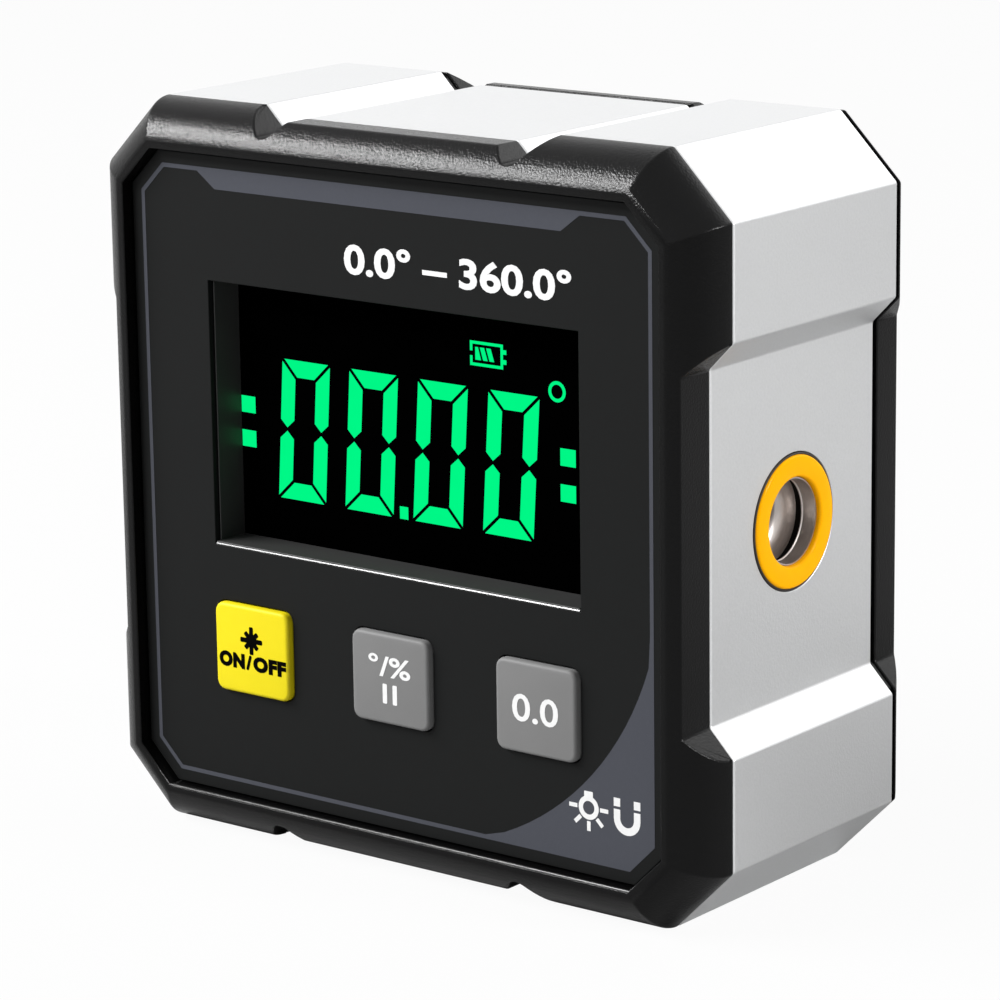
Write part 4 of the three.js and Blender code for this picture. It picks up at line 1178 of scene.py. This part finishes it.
class GAUGE_OT_display(bpy.types.Operator):
    """Models the display glass and its lit segments, and dresses what lies behind it"""

    bl_idname = "gauge.display"
    bl_label = "Display"

    def execute(self, context):
        glass = slab(rectangle(GLASS[0].x, GLASS[1].x, GLASS[0].z, GLASS[1].z), GLASS[0].y, GLASS[1].y)
        piece("display_front", glass, display_black(), HOUSING, ["display_glass"],
              softness=0.08 * MM)
        lit = lit_segments(context.scene.gauge_colours.lit)
        y0 = GLASS[0].y - context.scene.gauge_controls.print_depth
        y1 = GLASS[0].y + 0.05 * MM
        piece("lit_digits", together(self.digits(context, y0, y1)), lit, HOUSING)
        piece("lit_signs", together(self.marks(y0, y1)), lit, HOUSING)
        dress(plain_moulding("white_moulding", (0.78, 0.78, 0.74), 0.45), "display_backlight",
              *(f"{name}_plunger" for name in KEY_NAMES))
        dress(plain_moulding("rubber_strip", (0.16, 0.16, 0.165), 0.6), "display_connector")
        dress(grained_plastic("holder_plastic", context.scene.gauge_colours.shell), "display_holder")
        return {"FINISHED"}

    def digits(self, context, y0, y1):
        """Four seven-segment noughts with pointed segments, and the decimal point."""
        controls = context.scene.gauge_controls
        width = controls.digit_width
        height = controls.digit_height
        stroke = controls.digit_stroke
        gap = controls.digit_gap / math.sqrt(2)
        point = controls.digit_point
        waist = height / 2 + controls.digit_gap / 2
        top = [(width - gap, height), (gap, height), (stroke + gap, height - stroke),
               (width - stroke - gap, height - stroke)]
        left = [(0, height - gap), (0, waist + point), (stroke / 2, waist), (stroke, waist + point),
                (stroke, height - stroke - gap)]
        right = [(width - x, z) for x, z in reversed(left)]
        upper = [top, left, right]
        lower = [[(x, height - z) for x, z in reversed(outline)] for outline in upper]
        parts = []
        for digit in range(4):
            start = controls.digit_left + digit * controls.digit_pitch
            for outline in upper + lower:
                placed = [(start + x + controls.digit_slant * z, controls.digit_bottom + z)
                          for x, z in outline]
                parts.append(slab(placed, y0, y1))
        decimal_point = in_mm(rectangle(-1.78, -0.95, -1.7, -0.7))
        return [*parts, slab(decimal_point, y0, y1)]

    def marks(self, y0, y1):
        """The level marks beside the digits, the battery sign and the degree sign."""
        blocks = ((-18.0, 5.55), (-18.0, 2.75), (14.05, 5.35), (14.05, 2.55))
        battery = (
            [(8.66, 11.45), (8.66, 11.85), (8.98, 11.85), (8.98, 12.2), (8.66, 12.2), (8.66, 12.62),
             (8.98, 12.62), (8.98, 12.97), (8.66, 12.97), (8.66, 13.38), (5.47, 13.38), (5.47, 12.6),
             (5.7, 12.6), (5.7, 13.15), (8.43, 13.15), (8.43, 11.68), (5.7, 11.68), (5.7, 12.22),
             (5.47, 12.22), (5.47, 11.45)],
            [(6.53, 11.92), (6.24, 12.92), (5.98, 12.92), (5.98, 11.92)],
            [(7.17, 11.92), (6.84, 12.92), (6.43, 12.92), (6.74, 11.92)],
            [(7.8, 11.92), (7.47, 12.92), (7.04, 12.92), (7.36, 11.92)],
        )
        outlines = [rectangle(x, x + 1.45, z - 0.68, z + 0.68) for x, z in blocks]
        parts = [slab(in_mm(outline), y0, y1) for outline in (*outlines, *battery)]
        degree = band(circle(0.82 * MM, 13.79 * MM, 10.35 * MM, 32), 0.27 * MM, y0, y1)
        return [*parts, degree]


# Keys

# Writing on each key, in millimetres: its place from the key's middle, width, height, weight and spacing
KEY_WORDS = {
    "power": [("ON", -2.1, -0.95, 2.7, 1.3, 0.09, 1.12), ("OFF", 1.88, -0.95, 3.45, 1.3, 0.09, 1.12)],
    "hold": [("°/%", 0, 1.1, 4.2, 1.75, 0.03, 1)],
    "zero": [("0.0", 0, 0, 4.4, 2.2, 0.03, 1)],
}


class GAUGE_OT_keys(bpy.types.Operator):
    """Models the three rubber keys and their printed signs, and dresses their switches"""

    bl_idname = "gauge.keys"
    bl_label = "Keys"

    def execute(self, context):
        colours = context.scene.gauge_colours
        yellow = key_rubber("yellow_key_rubber", colours.yellow)
        grey = key_rubber("grey_key_rubber", colours.grey)
        white = ink("white_key_print", colours.print_white)
        black = ink("black_key_print", colours.print_black, 0.01)
        for name in KEY_NAMES:
            piece(f"{name}_cap", self.cap(context, name), yellow if name == "power" else grey,
                  f"{name}_button", [f"{name}_key"], sharp_from=50)
            signs = together(self.signs(context, name))
            piece(f"{name}_sign", signs, black if name == "power" else white, f"{name}_button")
        dress(nickel_plate("switch_plate", colours.nickel), *(f"{name}_switch" for name in KEY_NAMES))
        return {"FINISHED"}

    def cap(self, context, name):
        """A rubber key with a rounded front edge and a flange behind the bezel."""
        controls = context.scene.gauge_controls
        low, high = span(f"{name}_key")
        flange_front = high.y - controls.key_flange_thickness
        cap = key_hole(name, low.y, high.y - 0.1 * MM, 0)
        soften(cap, controls.key_softness, (low.y,), 5)
        flange = rounded_slab(low.x, high.x, low.z, high.z, flange_front, high.y, controls.key_radius)
        return carve(cap, ("UNION", flange))

    def signs(self, context, name):
        """The signs of a key: a star over ON and OFF, units over a pause sign, or nought."""
        low, high = span(f"{name}_key")
        y0 = low.y - context.scene.gauge_controls.print_depth
        y1 = low.y + 0.1 * MM
        x = (low.x + high.x) / 2
        z = (low.z + high.z) / 2
        parts = [writing(word, (x + right * MM, z + up * MM), width * MM, height * MM, y0, y1, weight * MM,
                         spacing) for word, right, up, width, height, weight, spacing in KEY_WORDS[name]]
        if name == "power":
            star = flat(self.star(x, z + 0.9 * MM), y0)
            parts.append(deepen(round_corners(star, 0.11 * MM), y1 - y0))
            stroke = [(x - 0.45 * MM, z - 1.45 * MM), (x - 0.14 * MM, z - 0.45 * MM)]
            parts.append(bar(*stroke, 0.27 * MM, y0, y1))
        if name == "hold":
            half = 0.22 * MM
            parts += [rounded_slab(side - half, side + half, z - 1.95 * MM, z - 0.35 * MM, y0, y1, 0.1 * MM)
                      for side in (x - 0.5 * MM, x + 0.5 * MM)]
        return parts

    def star(self, x, z):
        """The outline of eight short rays round a point."""
        half = 0.2 * MM
        valley = half / math.sin(math.pi / 8)
        points = []
        for index in range(8):
            angle = index * math.pi / 4
            reach = (0.92 if index % 2 else 1.15) * MM
            notch = angle - math.pi / 8
            points.append((x + valley * math.cos(notch), z + valley * math.sin(notch)))
            for side in (-half, half):
                points.append((x + reach * math.cos(angle) - side * math.sin(angle),
                               z + reach * math.sin(angle) + side * math.cos(angle)))
        return points


# Lamp and magnets


class GAUGE_OT_lamp(bpy.types.Operator):
    """Models the lamp's amber ring, turned barrel, lens and emitter, and dresses its board and leads"""

    bl_idname = "gauge.lamp"
    bl_label = "Lamp"

    def execute(self, context):
        colours = context.scene.gauge_colours
        lamp = context.scene.gauge_lamp
        wall = context.scene.gauge_shells.frame_wall
        seal_rubber = plain_moulding("seal_rubber", (0.012, 0.006, 0.003), 0.5)
        # Near-black rubber for the ring in the barrel's groove, which paints the groove's deep shade.
        groove_painted_shade = plain_moulding("groove_painted_shade", (0.004, 0.003, 0.002), 0.6, 0.1)
        nickel = nickel_plate("emitter_nickel", colours.nickel)
        made = (
            ("amber_ring", self.ring(lamp), glossy_amber(colours.amber), "amber_plastic", ["lamp_ring"], 35),
            ("lamp_seal", self.seal(lamp), seal_rubber, "black_plastic", (), 35),
            ("turned_barrel", self.barrel(lamp, wall), turned_steel(colours.barrel), "turned_steel",
             ["lamp_barrel"], 25),
            # This ring is painted shade: it darkens the barrel's groove.
            ("barrel_groove_painted_shade", self.painted_groove_shade(lamp), groove_painted_shade, "black_plastic", (), 35),
            ("lamp_lens_clear", self.lens(), clear_lens(), "clear_glass", ["lamp_lens"], 35),
            ("emitter_can", self.emitter(), nickel, "nickel", ["lamp_emitter"], 35),
        )
        for name, shape, finish, slot, nodes, sharp_from in made:
            piece(name, shape, finish, HOUSING, nodes, sharp_from=sharp_from)
        dress(solder_mask(), "lamp_board", "main_board")
        dress(wire_cover("red_cover", (0.42, 0.012, 0.010)), "lamp_lead_red", "battery_lead_red")
        dress(wire_cover("black_cover", (0.008, 0.008, 0.009)), "lamp_lead_black", "battery_lead_black")
        return {"FINISHED"}

    def around(self, profile, start=0.0):
        """A closed profile spun round the lamp's axis."""
        return turned(profile, (start, 0, 0), (1, 0, 0), 96, closed=True)

    def ring(self, lamp):
        """The amber ring: both edges rounded, with a slight crown between them."""
        outer = RING[1].z - lamp.ring_trim
        bore = lamp.ring_bore
        top = RING[1].x - RING[0].x - lamp.ring_drop - lamp.ring_crown
        rounding = lamp.ring_rounding
        degrees = range(0, 91, 15)
        profile = [
            (0, bore),
            (0, outer),
            *swept(top - rounding, outer - rounding, rounding, rounding, degrees),
            (top + lamp.ring_crown, (outer + bore) / 2),
            *swept(top - rounding, bore + rounding, rounding, -rounding, reversed(degrees)),
        ]
        return self.around(profile, RING[0].x)

    def seal(self, lamp):
        """The thin dark seal between the ring and its seat."""
        inner = RING[1].z - lamp.ring_trim + 0.01 * MM
        outer = inner + lamp.seal_width
        rise = lamp.ring_seat + lamp.seal_rise
        chamfer = 0.05 * MM
        start = 0.1 * MM
        profile = [(start, inner), (start, outer), (rise - chamfer, outer), (rise, outer - chamfer),
                   (rise, inner)]
        return self.around(profile, RING[0].x)

    def painted_groove_shade(self, lamp):
        """A near-black ring in the barrel's groove: painted shade that stands for the groove's deep shadow.
        """
        gap = 0.01 * MM
        high = BARREL[1].x - lamp.mouth_depth
        low = high - lamp.groove_width
        inner = lamp.painted_shade_radius
        outer = lamp.groove_radius - gap
        return self.around([(low + gap, inner), (low + gap, outer), (high - gap, outer), (high - gap, inner)])

    def barrel(self, lamp, wall):
        """The turned barrel: flange, collar, lip, groove, bowl, throat and seat of the lens."""
        end = BARREL[1].x - BARREL[0].x
        flange = HALF_WIDTH - wall - BARREL[0].x
        groove = end - lamp.mouth_depth
        step = groove - lamp.groove_width
        collar_radius = lamp.ring_bore - 0.05 * MM
        collar_end = end + lamp.mouth_collar
        reach = lamp.groove_radius - lamp.throat_radius - 0.12 * MM
        points = [
            (0, lamp.lens_radius),
            (0, lamp.barrel_radius),
            (flange - lamp.flange_thickness, lamp.barrel_radius),
            (flange - lamp.flange_thickness, lamp.flange_radius),
            (flange, lamp.flange_radius),
            (flange, lamp.barrel_radius),
            (end, lamp.barrel_radius),
            (end, collar_radius),
            (collar_end, collar_radius),
            (collar_end, lamp.mouth_radius),
            (groove + 2 * lamp.lip_height, lamp.mouth_radius),
            (groove + lamp.lip_height, lamp.mouth_radius - lamp.lip_height),
            (groove, lamp.mouth_radius - lamp.lip_height),
            (groove, lamp.groove_radius),
            *swept(step, lamp.groove_radius - reach, -lamp.bowl_depth, reach, range(0, 73, 8)),
            (step - lamp.bowl_depth, lamp.throat_radius + 0.1 * MM),
            (step - lamp.bowl_depth - 0.15 * MM, lamp.throat_radius),
            (lamp.lens_depth, lamp.throat_radius),
            (lamp.lens_depth, lamp.lens_radius),
        ]
        return self.around(points, BARREL[0].x)

    def lens(self):
        """A clear dome on a short flat rim."""
        low, high = span("lamp_lens")
        radius = high.z
        flat_rim = 0.7 * MM
        dome = [(0, 0), (0, radius - 0.1 * MM), (0.1 * MM, radius), (flat_rim, radius)]
        dome += swept(flat_rim, 0, high.x - low.x - flat_rim, radius, range(9, 91, 9))
        return turned(dome, (low.x, 0, 0), (1, 0, 0))

    def emitter(self):
        """The emitter's can with its foot and its sunk front."""
        low, high = span("lamp_emitter")
        radius = high.z
        depth = high.x - low.x
        sunk = depth - 0.4 * MM
        can = [(0, 0), (0, radius), (0.5 * MM, radius), (0.6 * MM, radius * 0.93),
               (depth - 0.15 * MM, radius * 0.93), (depth, radius * 0.87), (depth, radius * 0.6),
               (sunk, radius * 0.5), (sunk, 0)]
        return turned(can, (low.x, 0, 0), (1, 0, 0))


class GAUGE_OT_magnets(bpy.types.Operator):
    """Models the four magnets in the base"""

    bl_idname = "gauge.magnets"
    bl_label = "Magnets"

    def execute(self, context):
        nickel = nickel_plate("magnet_nickel", context.scene.gauge_colours.nickel)
        for number, node in enumerate(MAGNETS, 1):
            low, high = span(node)
            radius = (high.x - low.x) / 2
            height = high.z - low.z
            rounding = 0.2 * MM
            inner = radius - rounding
            profile = [
                (0, 0),
                *swept(rounding, inner, -rounding, rounding, (90, 60, 30, 0)),
                *swept(height - rounding, inner, rounding, rounding, (0, 30, 60, 90)),
                (height, 0),
            ]
            magnet = turned(profile, upright(node, low.z), (0, 0, 1), 48)
            piece(f"magnet_{number}", magnet, nickel, HOUSING, [node])
        return {"FINISHED"}


# Back


def door_centre():
    """Where the door's middle lies along X."""
    return (DOOR[0].x + DOOR[1].x) / 2


def door_outline(y0, y1, gap):
    """The door's plate, or the seat that it lies in when there is a gap."""
    cells = bpy.context.scene.gauge_cells
    x = door_centre()
    half_x = cells.door_half_width + gap
    half_z = cells.door_half_length + gap
    return rounded_slab(x - half_x, x + half_x, -half_z, half_z, y0, y1, cells.door_radius + gap)


class GAUGE_OT_cover(bpy.types.Operator):
    """Models the back cover with its cell compartment, door seat and screw posts"""

    bl_idname = "gauge.cover"
    bl_label = "Back cover"

    def execute(self, context):
        shells = context.scene.gauge_shells
        cells = context.scene.gauge_cells
        x = door_centre()
        spigot_start = BACK_JOINT - shells.spigot_depth
        spigot_inset = shells.frame_wall + shells.spigot_gap
        inside = BACK_FACE - shells.cover_web
        half_x = cells.well_half_width
        half_z = cells.well_half_length
        wall = cells.well_wall
        well_front = cells.well_inside - cells.well_floor
        door_front = BACK_FACE - cells.door_thickness
        box_outline = rectangle(x - half_x - wall, x + half_x + wall, -half_z - wall, half_z + wall)
        half_notch = cells.notch_width / 2
        notch = rectangle(x - half_notch, x + half_notch, cells.door_half_length - OVER,
                          cells.door_half_length + cells.notch_length)
        cuts = [
            slab(rectangle(x - half_x, x + half_x, -half_z, half_z), cells.well_inside, BACK_FACE + OVER),
            door_outline(door_front, BACK_FACE + OVER, cells.door_gap),
            slab(notch, door_front, BACK_FACE + OVER),
            *self.slots(context, x),
        ]
        gap_end = BACK_JOINT + shells.back_gap
        straight = shells.back_gap + shells.shell_softness
        shape = carve(
            rim(BACK_JOINT, 1, shells.cover_steps, shells.cover_start, straight, shells.cover_draw),
            ("INTERSECT", full_depth(body_outline(0, 0.05 * MM), gap_end, BACK_FACE + OVER)),
            ("UNION", slab(octagon(spigot_inset), spigot_start, gap_end + OVER)),
            ("DIFFERENCE", slab(octagon(spigot_inset + shells.spigot_wall), spigot_start - OVER, inside)),
            ("UNION", slab(box_outline, well_front, inside + OVER)),
            ("UNION", together(self.posts(context, inside))),
            *(("DIFFERENCE", cut) for cut in cuts),
            ("DIFFERENCE", together(self.screw_holes(context))),
        )
        mark_soft(quartered(shape), 20, lambda place: place.y > inside + TRIM or outside(place))
        finish = grained_plastic("grained_cover", context.scene.gauge_colours.shell)
        piece("cover_shell", shape, finish, HOUSING, ["back_cover"],
              softness=shells.shell_softness, marked=True)
        self.neck(finish, shells, spigot_inset)
        self.screws(context)
        return {"FINISHED"}

    def neck(self, finish, shells, spigot_inset):
        """The narrower start of the cover, which leaves a shadow line beside the frame."""
        lap = 0.15 * MM
        end = BACK_JOINT + shells.back_gap + lap
        shape = full_depth(body_outline(0), BACK_JOINT, end)
        share = 1 - shells.gap_depth / HALF_WIDTH
        bmesh.ops.scale(shape, vec=(share, 1, share), verts=shape.verts)
        bore = slab(octagon(spigot_inset + 0.1 * MM), BACK_JOINT - FAR, end + FAR)
        piece("cover_neck", carve(shape, ("DIFFERENCE", bore)), finish, HOUSING)

    def slots(self, context, x):
        """The slots for the door's toes and for the tabs of the contact plates."""
        cells = context.scene.gauge_cells
        half_z = cells.well_half_length
        toe_back = BACK_FACE - cells.door_thickness - cells.toe_drop
        toe_centre = cells.well_half_width - cells.toe_side_gap - cells.toe_width / 2
        toe_front = toe_back - cells.toe_thickness - cells.toe_slot_gap
        half_toe = cells.toe_width / 2 + cells.toe_side_gap / 2
        low = -half_z - cells.well_wall - OVER
        toes = []
        for middle in (x + side * toe_centre for side in SIDES):
            slot = rectangle(middle - half_toe, middle + half_toe, low, OVER - half_z)
            toes.append(slab(slot, toe_front, toe_back + cells.toe_slot_gap))
        tabs = []
        half_tab = cells.tab_slot_width / 2
        for middle in (centre(node).x for node in TABBED_PLATES):
            slot = rectangle(middle - half_tab, middle + half_tab, -half_z, cells.tab_slot_height - half_z)
            tabs.append(slab(slot, cells.well_inside - cells.well_floor - OVER, cells.well_inside + OVER))
        return [together(toes), together(tabs)]

    def head_radius(self):
        """Radius of a case screw's head."""
        low, high = span(CASE_SCREWS[0])
        return (high.x - low.x) / 2

    def posts(self, context, inside):
        """Posts for the case screws, with a collar round each head."""
        screws = context.scene.gauge_screws
        seat = BACK_FACE - screws.case_head_sink - screws.case_head_height
        start = LIP_FRONT + screws.case_reach
        collar = self.head_radius() + screws.head_gap + screws.collar_wall
        profile = [(start, 0), (start, screws.case_post), (seat - screws.collar_depth, screws.case_post),
                   (seat - screws.collar_depth, collar), (inside + OVER, collar), (inside + OVER, 0)]
        return [level_turned(profile, node) for node in CASE_SCREWS]

    def screw_holes(self, context):
        """Holes for the shanks and heads of the case screws."""
        screws = context.scene.gauge_screws
        seat = BACK_FACE - screws.case_head_sink - screws.case_head_height
        start = LIP_FRONT + screws.case_reach - OVER
        head = self.head_radius() + screws.head_gap
        shank = screws.case_shank + screws.gap
        end = BACK_FACE + OVER
        profile = [(start, 0), (start, shank), (seat, shank), (seat, head), (end, head), (end, 0)]
        return [level_turned(profile, node) for node in CASE_SCREWS]

    def screws(self, context):
        """The case screws with a plain thread, a domed head and a cross recess."""
        sizes = context.scene.gauge_screws
        nickel = nickel_plate("screw_nickel", context.scene.gauge_colours.nickel)
        for number, node in enumerate(CASE_SCREWS, 1):
            low, high = span(node)
            head = (high.x - low.x) / 2
            seat = high.y - sizes.case_head_height
            core = sizes.case_shank * 0.82
            profile = [(low.y, 0), (low.y, sizes.case_shank * 0.6)]
            distance = low.y + 0.5 * MM
            while distance < low.y + sizes.case_thread:
                profile += [(distance, core), (distance + sizes.thread_pitch / 2, sizes.case_shank)]
                distance += sizes.thread_pitch
            profile += [(seat, core), (seat, head - 0.1 * MM), (seat + 0.1 * MM, head)]
            crown = sizes.case_head_height * 0.55
            profile += swept(seat + crown, head * 0.45, sizes.case_head_height - crown, head * 0.55,
                             range(0, 91, 15))
            profile.append((high.y, 0))
            blank = level_turned(profile, node)
            cross = self.cross(sizes, centre(node), high.y, head)
            piece(f"case_screw_steel_{number}", carve(blank, *(("DIFFERENCE", arm) for arm in cross)), nickel,
                  HOUSING, [node], sharp_from=30)
        dress(nickel, *BOARD_SCREWS)

    def cross(self, sizes, middle, top, head):
        """The two tapered arms that are cut into a head."""
        arms = []
        half_width = sizes.drive_width / 2
        for turn in (0, math.pi / 2):
            arm = slab(rectangle(-head * 0.6, head * 0.6, -half_width, half_width), 0, 1.5 * MM)
            bottom = [corner for corner in arm.verts if corner.co.y < 0.1 * MM]
            bmesh.ops.scale(arm, vec=(0.45, 1, 0.7), verts=bottom)
            place = Matrix.Translation((middle.x, top - 1.0 * MM, middle.z)) @ Matrix.Rotation(turn, 4, "Y")
            bmesh.ops.transform(arm, matrix=place, verts=arm.verts)
            arms.append(arm)
        return arms


class GAUGE_OT_door(bpy.types.Operator):
    """Models the battery door with its tongue, toes and finger grooves"""

    bl_idname = "gauge.door"
    bl_label = "Battery door"

    def execute(self, context):
        cells = context.scene.gauge_cells
        x = door_centre()
        front = BACK_FACE - cells.door_thickness
        end = cells.door_half_length
        low = -cells.well_half_length
        half_tongue = cells.tongue_width / 2
        tongue = slab(rectangle(x - half_tongue, x + half_tongue, end - OVER, DOOR[1].z), front, BACK_FACE)
        toe_back = front - cells.toe_drop
        toe_front = toe_back - cells.toe_thickness
        toe_centre = cells.well_half_width - cells.toe_side_gap - cells.toe_width / 2
        block_start = low + cells.toe_side_gap
        block_end = block_start + cells.toe_block
        blocks = []
        tips = []
        for side in SIDES:
            left = x + side * toe_centre - cells.toe_width / 2
            right = left + cells.toe_width
            blocks.append(slab(rectangle(left, right, block_start, block_end), toe_front, front + OVER))
            tips.append(slab(rectangle(left, right, DOOR[0].z, block_end), toe_front, toe_back))
        grips = []
        half_length = cells.grip_length / 2
        half_width = cells.grip_width / 2
        for index in range(cells.grip_count):
            z = end - cells.grip_margin - index * cells.grip_pitch
            grips.append(rounded_slab(x - half_length, x + half_length, z - half_width, z + half_width,
                                      BACK_FACE - cells.grip_depth, BACK_FACE + OVER, half_width * 0.9))
        shape = carve(door_outline(front, BACK_FACE, 0), ("UNION", tongue), ("UNION", together(blocks)),
                      ("UNION", together(tips)), ("DIFFERENCE", together(grips)))
        finish = grained_plastic("grained_door", context.scene.gauge_colours.shell)
        piece("door_shell", shape, finish, "door", ["battery_door"], softness=0.1 * MM)
        return {"FINISHED"}


class GAUGE_OT_cells(bpy.types.Operator):
    """Models the two cells and dresses their contacts"""

    bl_idname = "gauge.cells"
    bl_label = "Cells"

    def execute(self, context):
        colours = context.scene.gauge_colours
        for node, up in (("battery_1", 1), ("battery_2", -1)):
            low, high = span(node)
            radius = (high.x - low.x) / 2
            total = high.z - low.z
            nub = 1.2 * MM
            shoulder = total - nub
            base = MIDDLE_Z + (low.z if up > 0 else high.z)
            band_low, band_high = sorted((base + up * total * 0.72, base + up * total * 0.97))
            sleeve = cell_sleeve(colours.cell_wrap, band_low, band_high)
            profile = [(0.25 * MM, 0), (0.25 * MM, radius * 0.72), (0, radius * 0.78), (0, radius - 0.4 * MM),
                       (0.12 * MM, radius - 0.1 * MM), (0.4 * MM, radius), (shoulder - 0.5 * MM, radius),
                       (shoulder - 0.15 * MM, radius - 0.12 * MM), (shoulder, radius - 0.5 * MM),
                       (shoulder, radius * 0.72), (shoulder - 0.2 * MM, radius * 0.68),
                       (shoulder - 0.2 * MM, radius * 0.36), (total - 0.15 * MM, radius * 0.36),
                       (total, radius * 0.32), (total, 0)]
            cell = turned(profile, upright(node, low.z if up > 0 else high.z), (0, 0, up), 56)
            piece(f"cell_{node[-1]}", cell, sleeve, HOUSING, [node], sharp_from=40)
        dress(nickel_plate("contact_nickel", colours.nickel), "contact_spring_lower", "contact_spring_upper",
              *TABBED_PLATES, "contact_plate_bridge")
        return {"FINISHED"}


class GAUGE_OT_board(bpy.types.Operator):
    """Dresses the parts that are soldered to the main board"""

    bl_idname = "gauge.board"
    bl_label = "Board parts"

    def execute(self, context):
        dress(moulded_resin(), "controller_chip", "tilt_sensor")
        dress(nickel_plate("crystal_can", context.scene.gauge_colours.nickel), "clock_crystal")
        return {"FINISHED"}


# Stage

CAMERA_PLACE = (0.20345, -0.26024, 0.10787)
CAMERA_TURN = (38.078, 13.618, -0.794)
FOCAL_LENGTH = 152.72


class GAUGE_OT_stage(bpy.types.Operator):
    """Adds the pale floor, the soft lights and the camera"""

    bl_idname = "gauge.stage"
    bl_label = "Stage"

    def execute(self, context):
        self.floor(context.scene.gauge_stage)
        self.world(context)
        self.lamps(context)
        self.camera(context)
        context.scene.view_settings.view_transform = "Standard"
        return {"FINISHED"}

    def floor(self, stage):
        """A plain pale floor, which the camera sees as nearly white."""
        shape = bmesh.new()
        bmesh.ops.create_grid(shape, x_segments=8, y_segments=8, size=3.0)
        ground = bpy.data.objects.new("floor", to_mesh(shape, "floor"))
        bpy.context.scene.collection.objects.link(ground)
        paper = Finish("pale_floor", roughness=0.9, ior_level=0.1)
        fibre = paper.noise(1.5 * MM)
        tone = (stage.floor_tone, stage.floor_tone, stage.floor_tone)
        paper.feed("base_color", paper.blend(fibre, shade(tone, 0.98), shade(tone, 1.02)))
        glow = paper.node("Emission", {"Color": (1, 1, 1), "Strength": 1.0})
        seen = paper.node("LightPath", output="Is Camera Ray") * stage.floor_glow
        shader = Value(paper, paper.shader.outputs[0])
        mix = paper.node("MixShader", {0: seen, 1: shader, 2: glow})
        surface = paper.tree.nodes["Material Output"].inputs["Surface"]
        paper.join(surface, mix)
        ground.data.materials.append(paper.material)

    def world(self, context):
        """Even light, with plain white behind everything."""
        world = bpy.data.worlds.new("studio")
        context.scene.world = world
        world.use_nodes = True
        sky = Nodes(world.node_tree)
        seen = [sky.node("LightPath", output=ray) for ray in ("Is Camera Ray", "Is Glossy Ray",
                                                             "Is Transmission Ray")]
        white = (seen[0] + seen[1] + seen[2]).clamped()
        background = world.node_tree.nodes["Background"]
        sky.join(background.inputs["Color"], (1, 1, 1))
        even = context.scene.gauge_stage.sky
        sky.join(background.inputs["Strength"], even + (1 - even) * white)

    def lamps(self, context):
        """Three soft lights that face the middle of the body."""
        stage = context.scene.gauge_stage
        lamps = (
            ("key_light", (-0.40, -0.34, 0.43), 0.50, 0.065, stage.key_power),
            ("side_light", (0.62, 0.10, 0.30), 0.15, 0.15, stage.side_power),
            ("back_light", (0.21, 0.69, 0.57), 0.50, 0.40, stage.back_power),
        )
        for name, place, width, height, power in lamps:
            light = bpy.data.lights.new(name, "AREA")
            light.shape = "RECTANGLE"
            light.size = width
            light.size_y = height
            light.energy = power
            lamp = bpy.data.objects.new(name, light)
            context.scene.collection.objects.link(lamp)
            lamp.location = place
            aim = Vector((0, 0, MIDDLE_Z)) - Vector(place)
            lamp.rotation_euler = aim.to_track_quat("-Z", "Y").to_euler()

    def camera(self, context):
        """The camera where the photo was taken from, as fitted to the outline."""
        lens = bpy.data.cameras.new("photo_camera")
        lens.lens = FOCAL_LENGTH
        lens.sensor_width = 36
        lens.clip_start = 0.01
        camera = bpy.data.objects.new("photo_camera", lens)
        context.scene.collection.objects.link(camera)
        yaw, pitch, roll = (math.radians(angle) for angle in CAMERA_TURN)
        camera.matrix_world = (
            Matrix.Translation(CAMERA_PLACE)
            @ Matrix.Rotation(yaw, 4, "Z")
            @ Matrix.Rotation(math.pi / 2 - pitch, 4, "X")
            @ Matrix.Rotation(roll, 4, "Z")
        )
        context.scene.camera = camera


# Add-on

GROUPS = {
    "gauge_outline": GaugeOutline,
    "gauge_shells": GaugeShells,
    "gauge_screws": GaugeScrews,
    "gauge_controls": GaugeControls,
    "gauge_label": GaugeLabel,
    "gauge_lamp": GaugeLamp,
    "gauge_cells": GaugeCells,
    "gauge_colours": GaugeColours,
    "gauge_stage": GaugeStage,
}
OPERATORS = (
    GAUGE_OT_bezel,
    GAUGE_OT_frame,
    GAUGE_OT_label,
    GAUGE_OT_display,
    GAUGE_OT_keys,
    GAUGE_OT_lamp,
    GAUGE_OT_magnets,
    GAUGE_OT_cover,
    GAUGE_OT_door,
    GAUGE_OT_cells,
    GAUGE_OT_board,
    GAUGE_OT_stage,
)


class GAUGE_PT_sidebar(bpy.types.Panel):
    """Lists the sizes, the colours and the pieces"""

    bl_idname = "GAUGE_PT_sidebar"
    bl_label = "Digital angle gauge"
    bl_space_type = "VIEW_3D"
    bl_region_type = "UI"
    bl_category = "Gauge"

    def draw(self, context):
        for operator in OPERATORS:
            self.layout.operator(operator.bl_idname)
        for name, group in GROUPS.items():
            settings = getattr(context.scene, name)
            for field in group.__annotations__:
                self.layout.prop(settings, field)


def register():
    for group in GROUPS.values():
        bpy.utils.register_class(group)
    for name, group in GROUPS.items():
        setattr(bpy.types.Scene, name, PointerProperty(type=group))
    for operator in OPERATORS:
        bpy.utils.register_class(operator)
    bpy.utils.register_class(GAUGE_PT_sidebar)


def unregister():
    bpy.utils.unregister_class(GAUGE_PT_sidebar)
    for operator in reversed(OPERATORS):
        bpy.utils.unregister_class(operator)
    for name, group in GROUPS.items():
        delattr(bpy.types.Scene, name)
        bpy.utils.unregister_class(group)


def main():
    register()
    for operator in OPERATORS:
        category, name = operator.bl_idname.split(".")
        getattr(getattr(bpy.ops, category), name)()


if __name__ == "__main__":
    main()
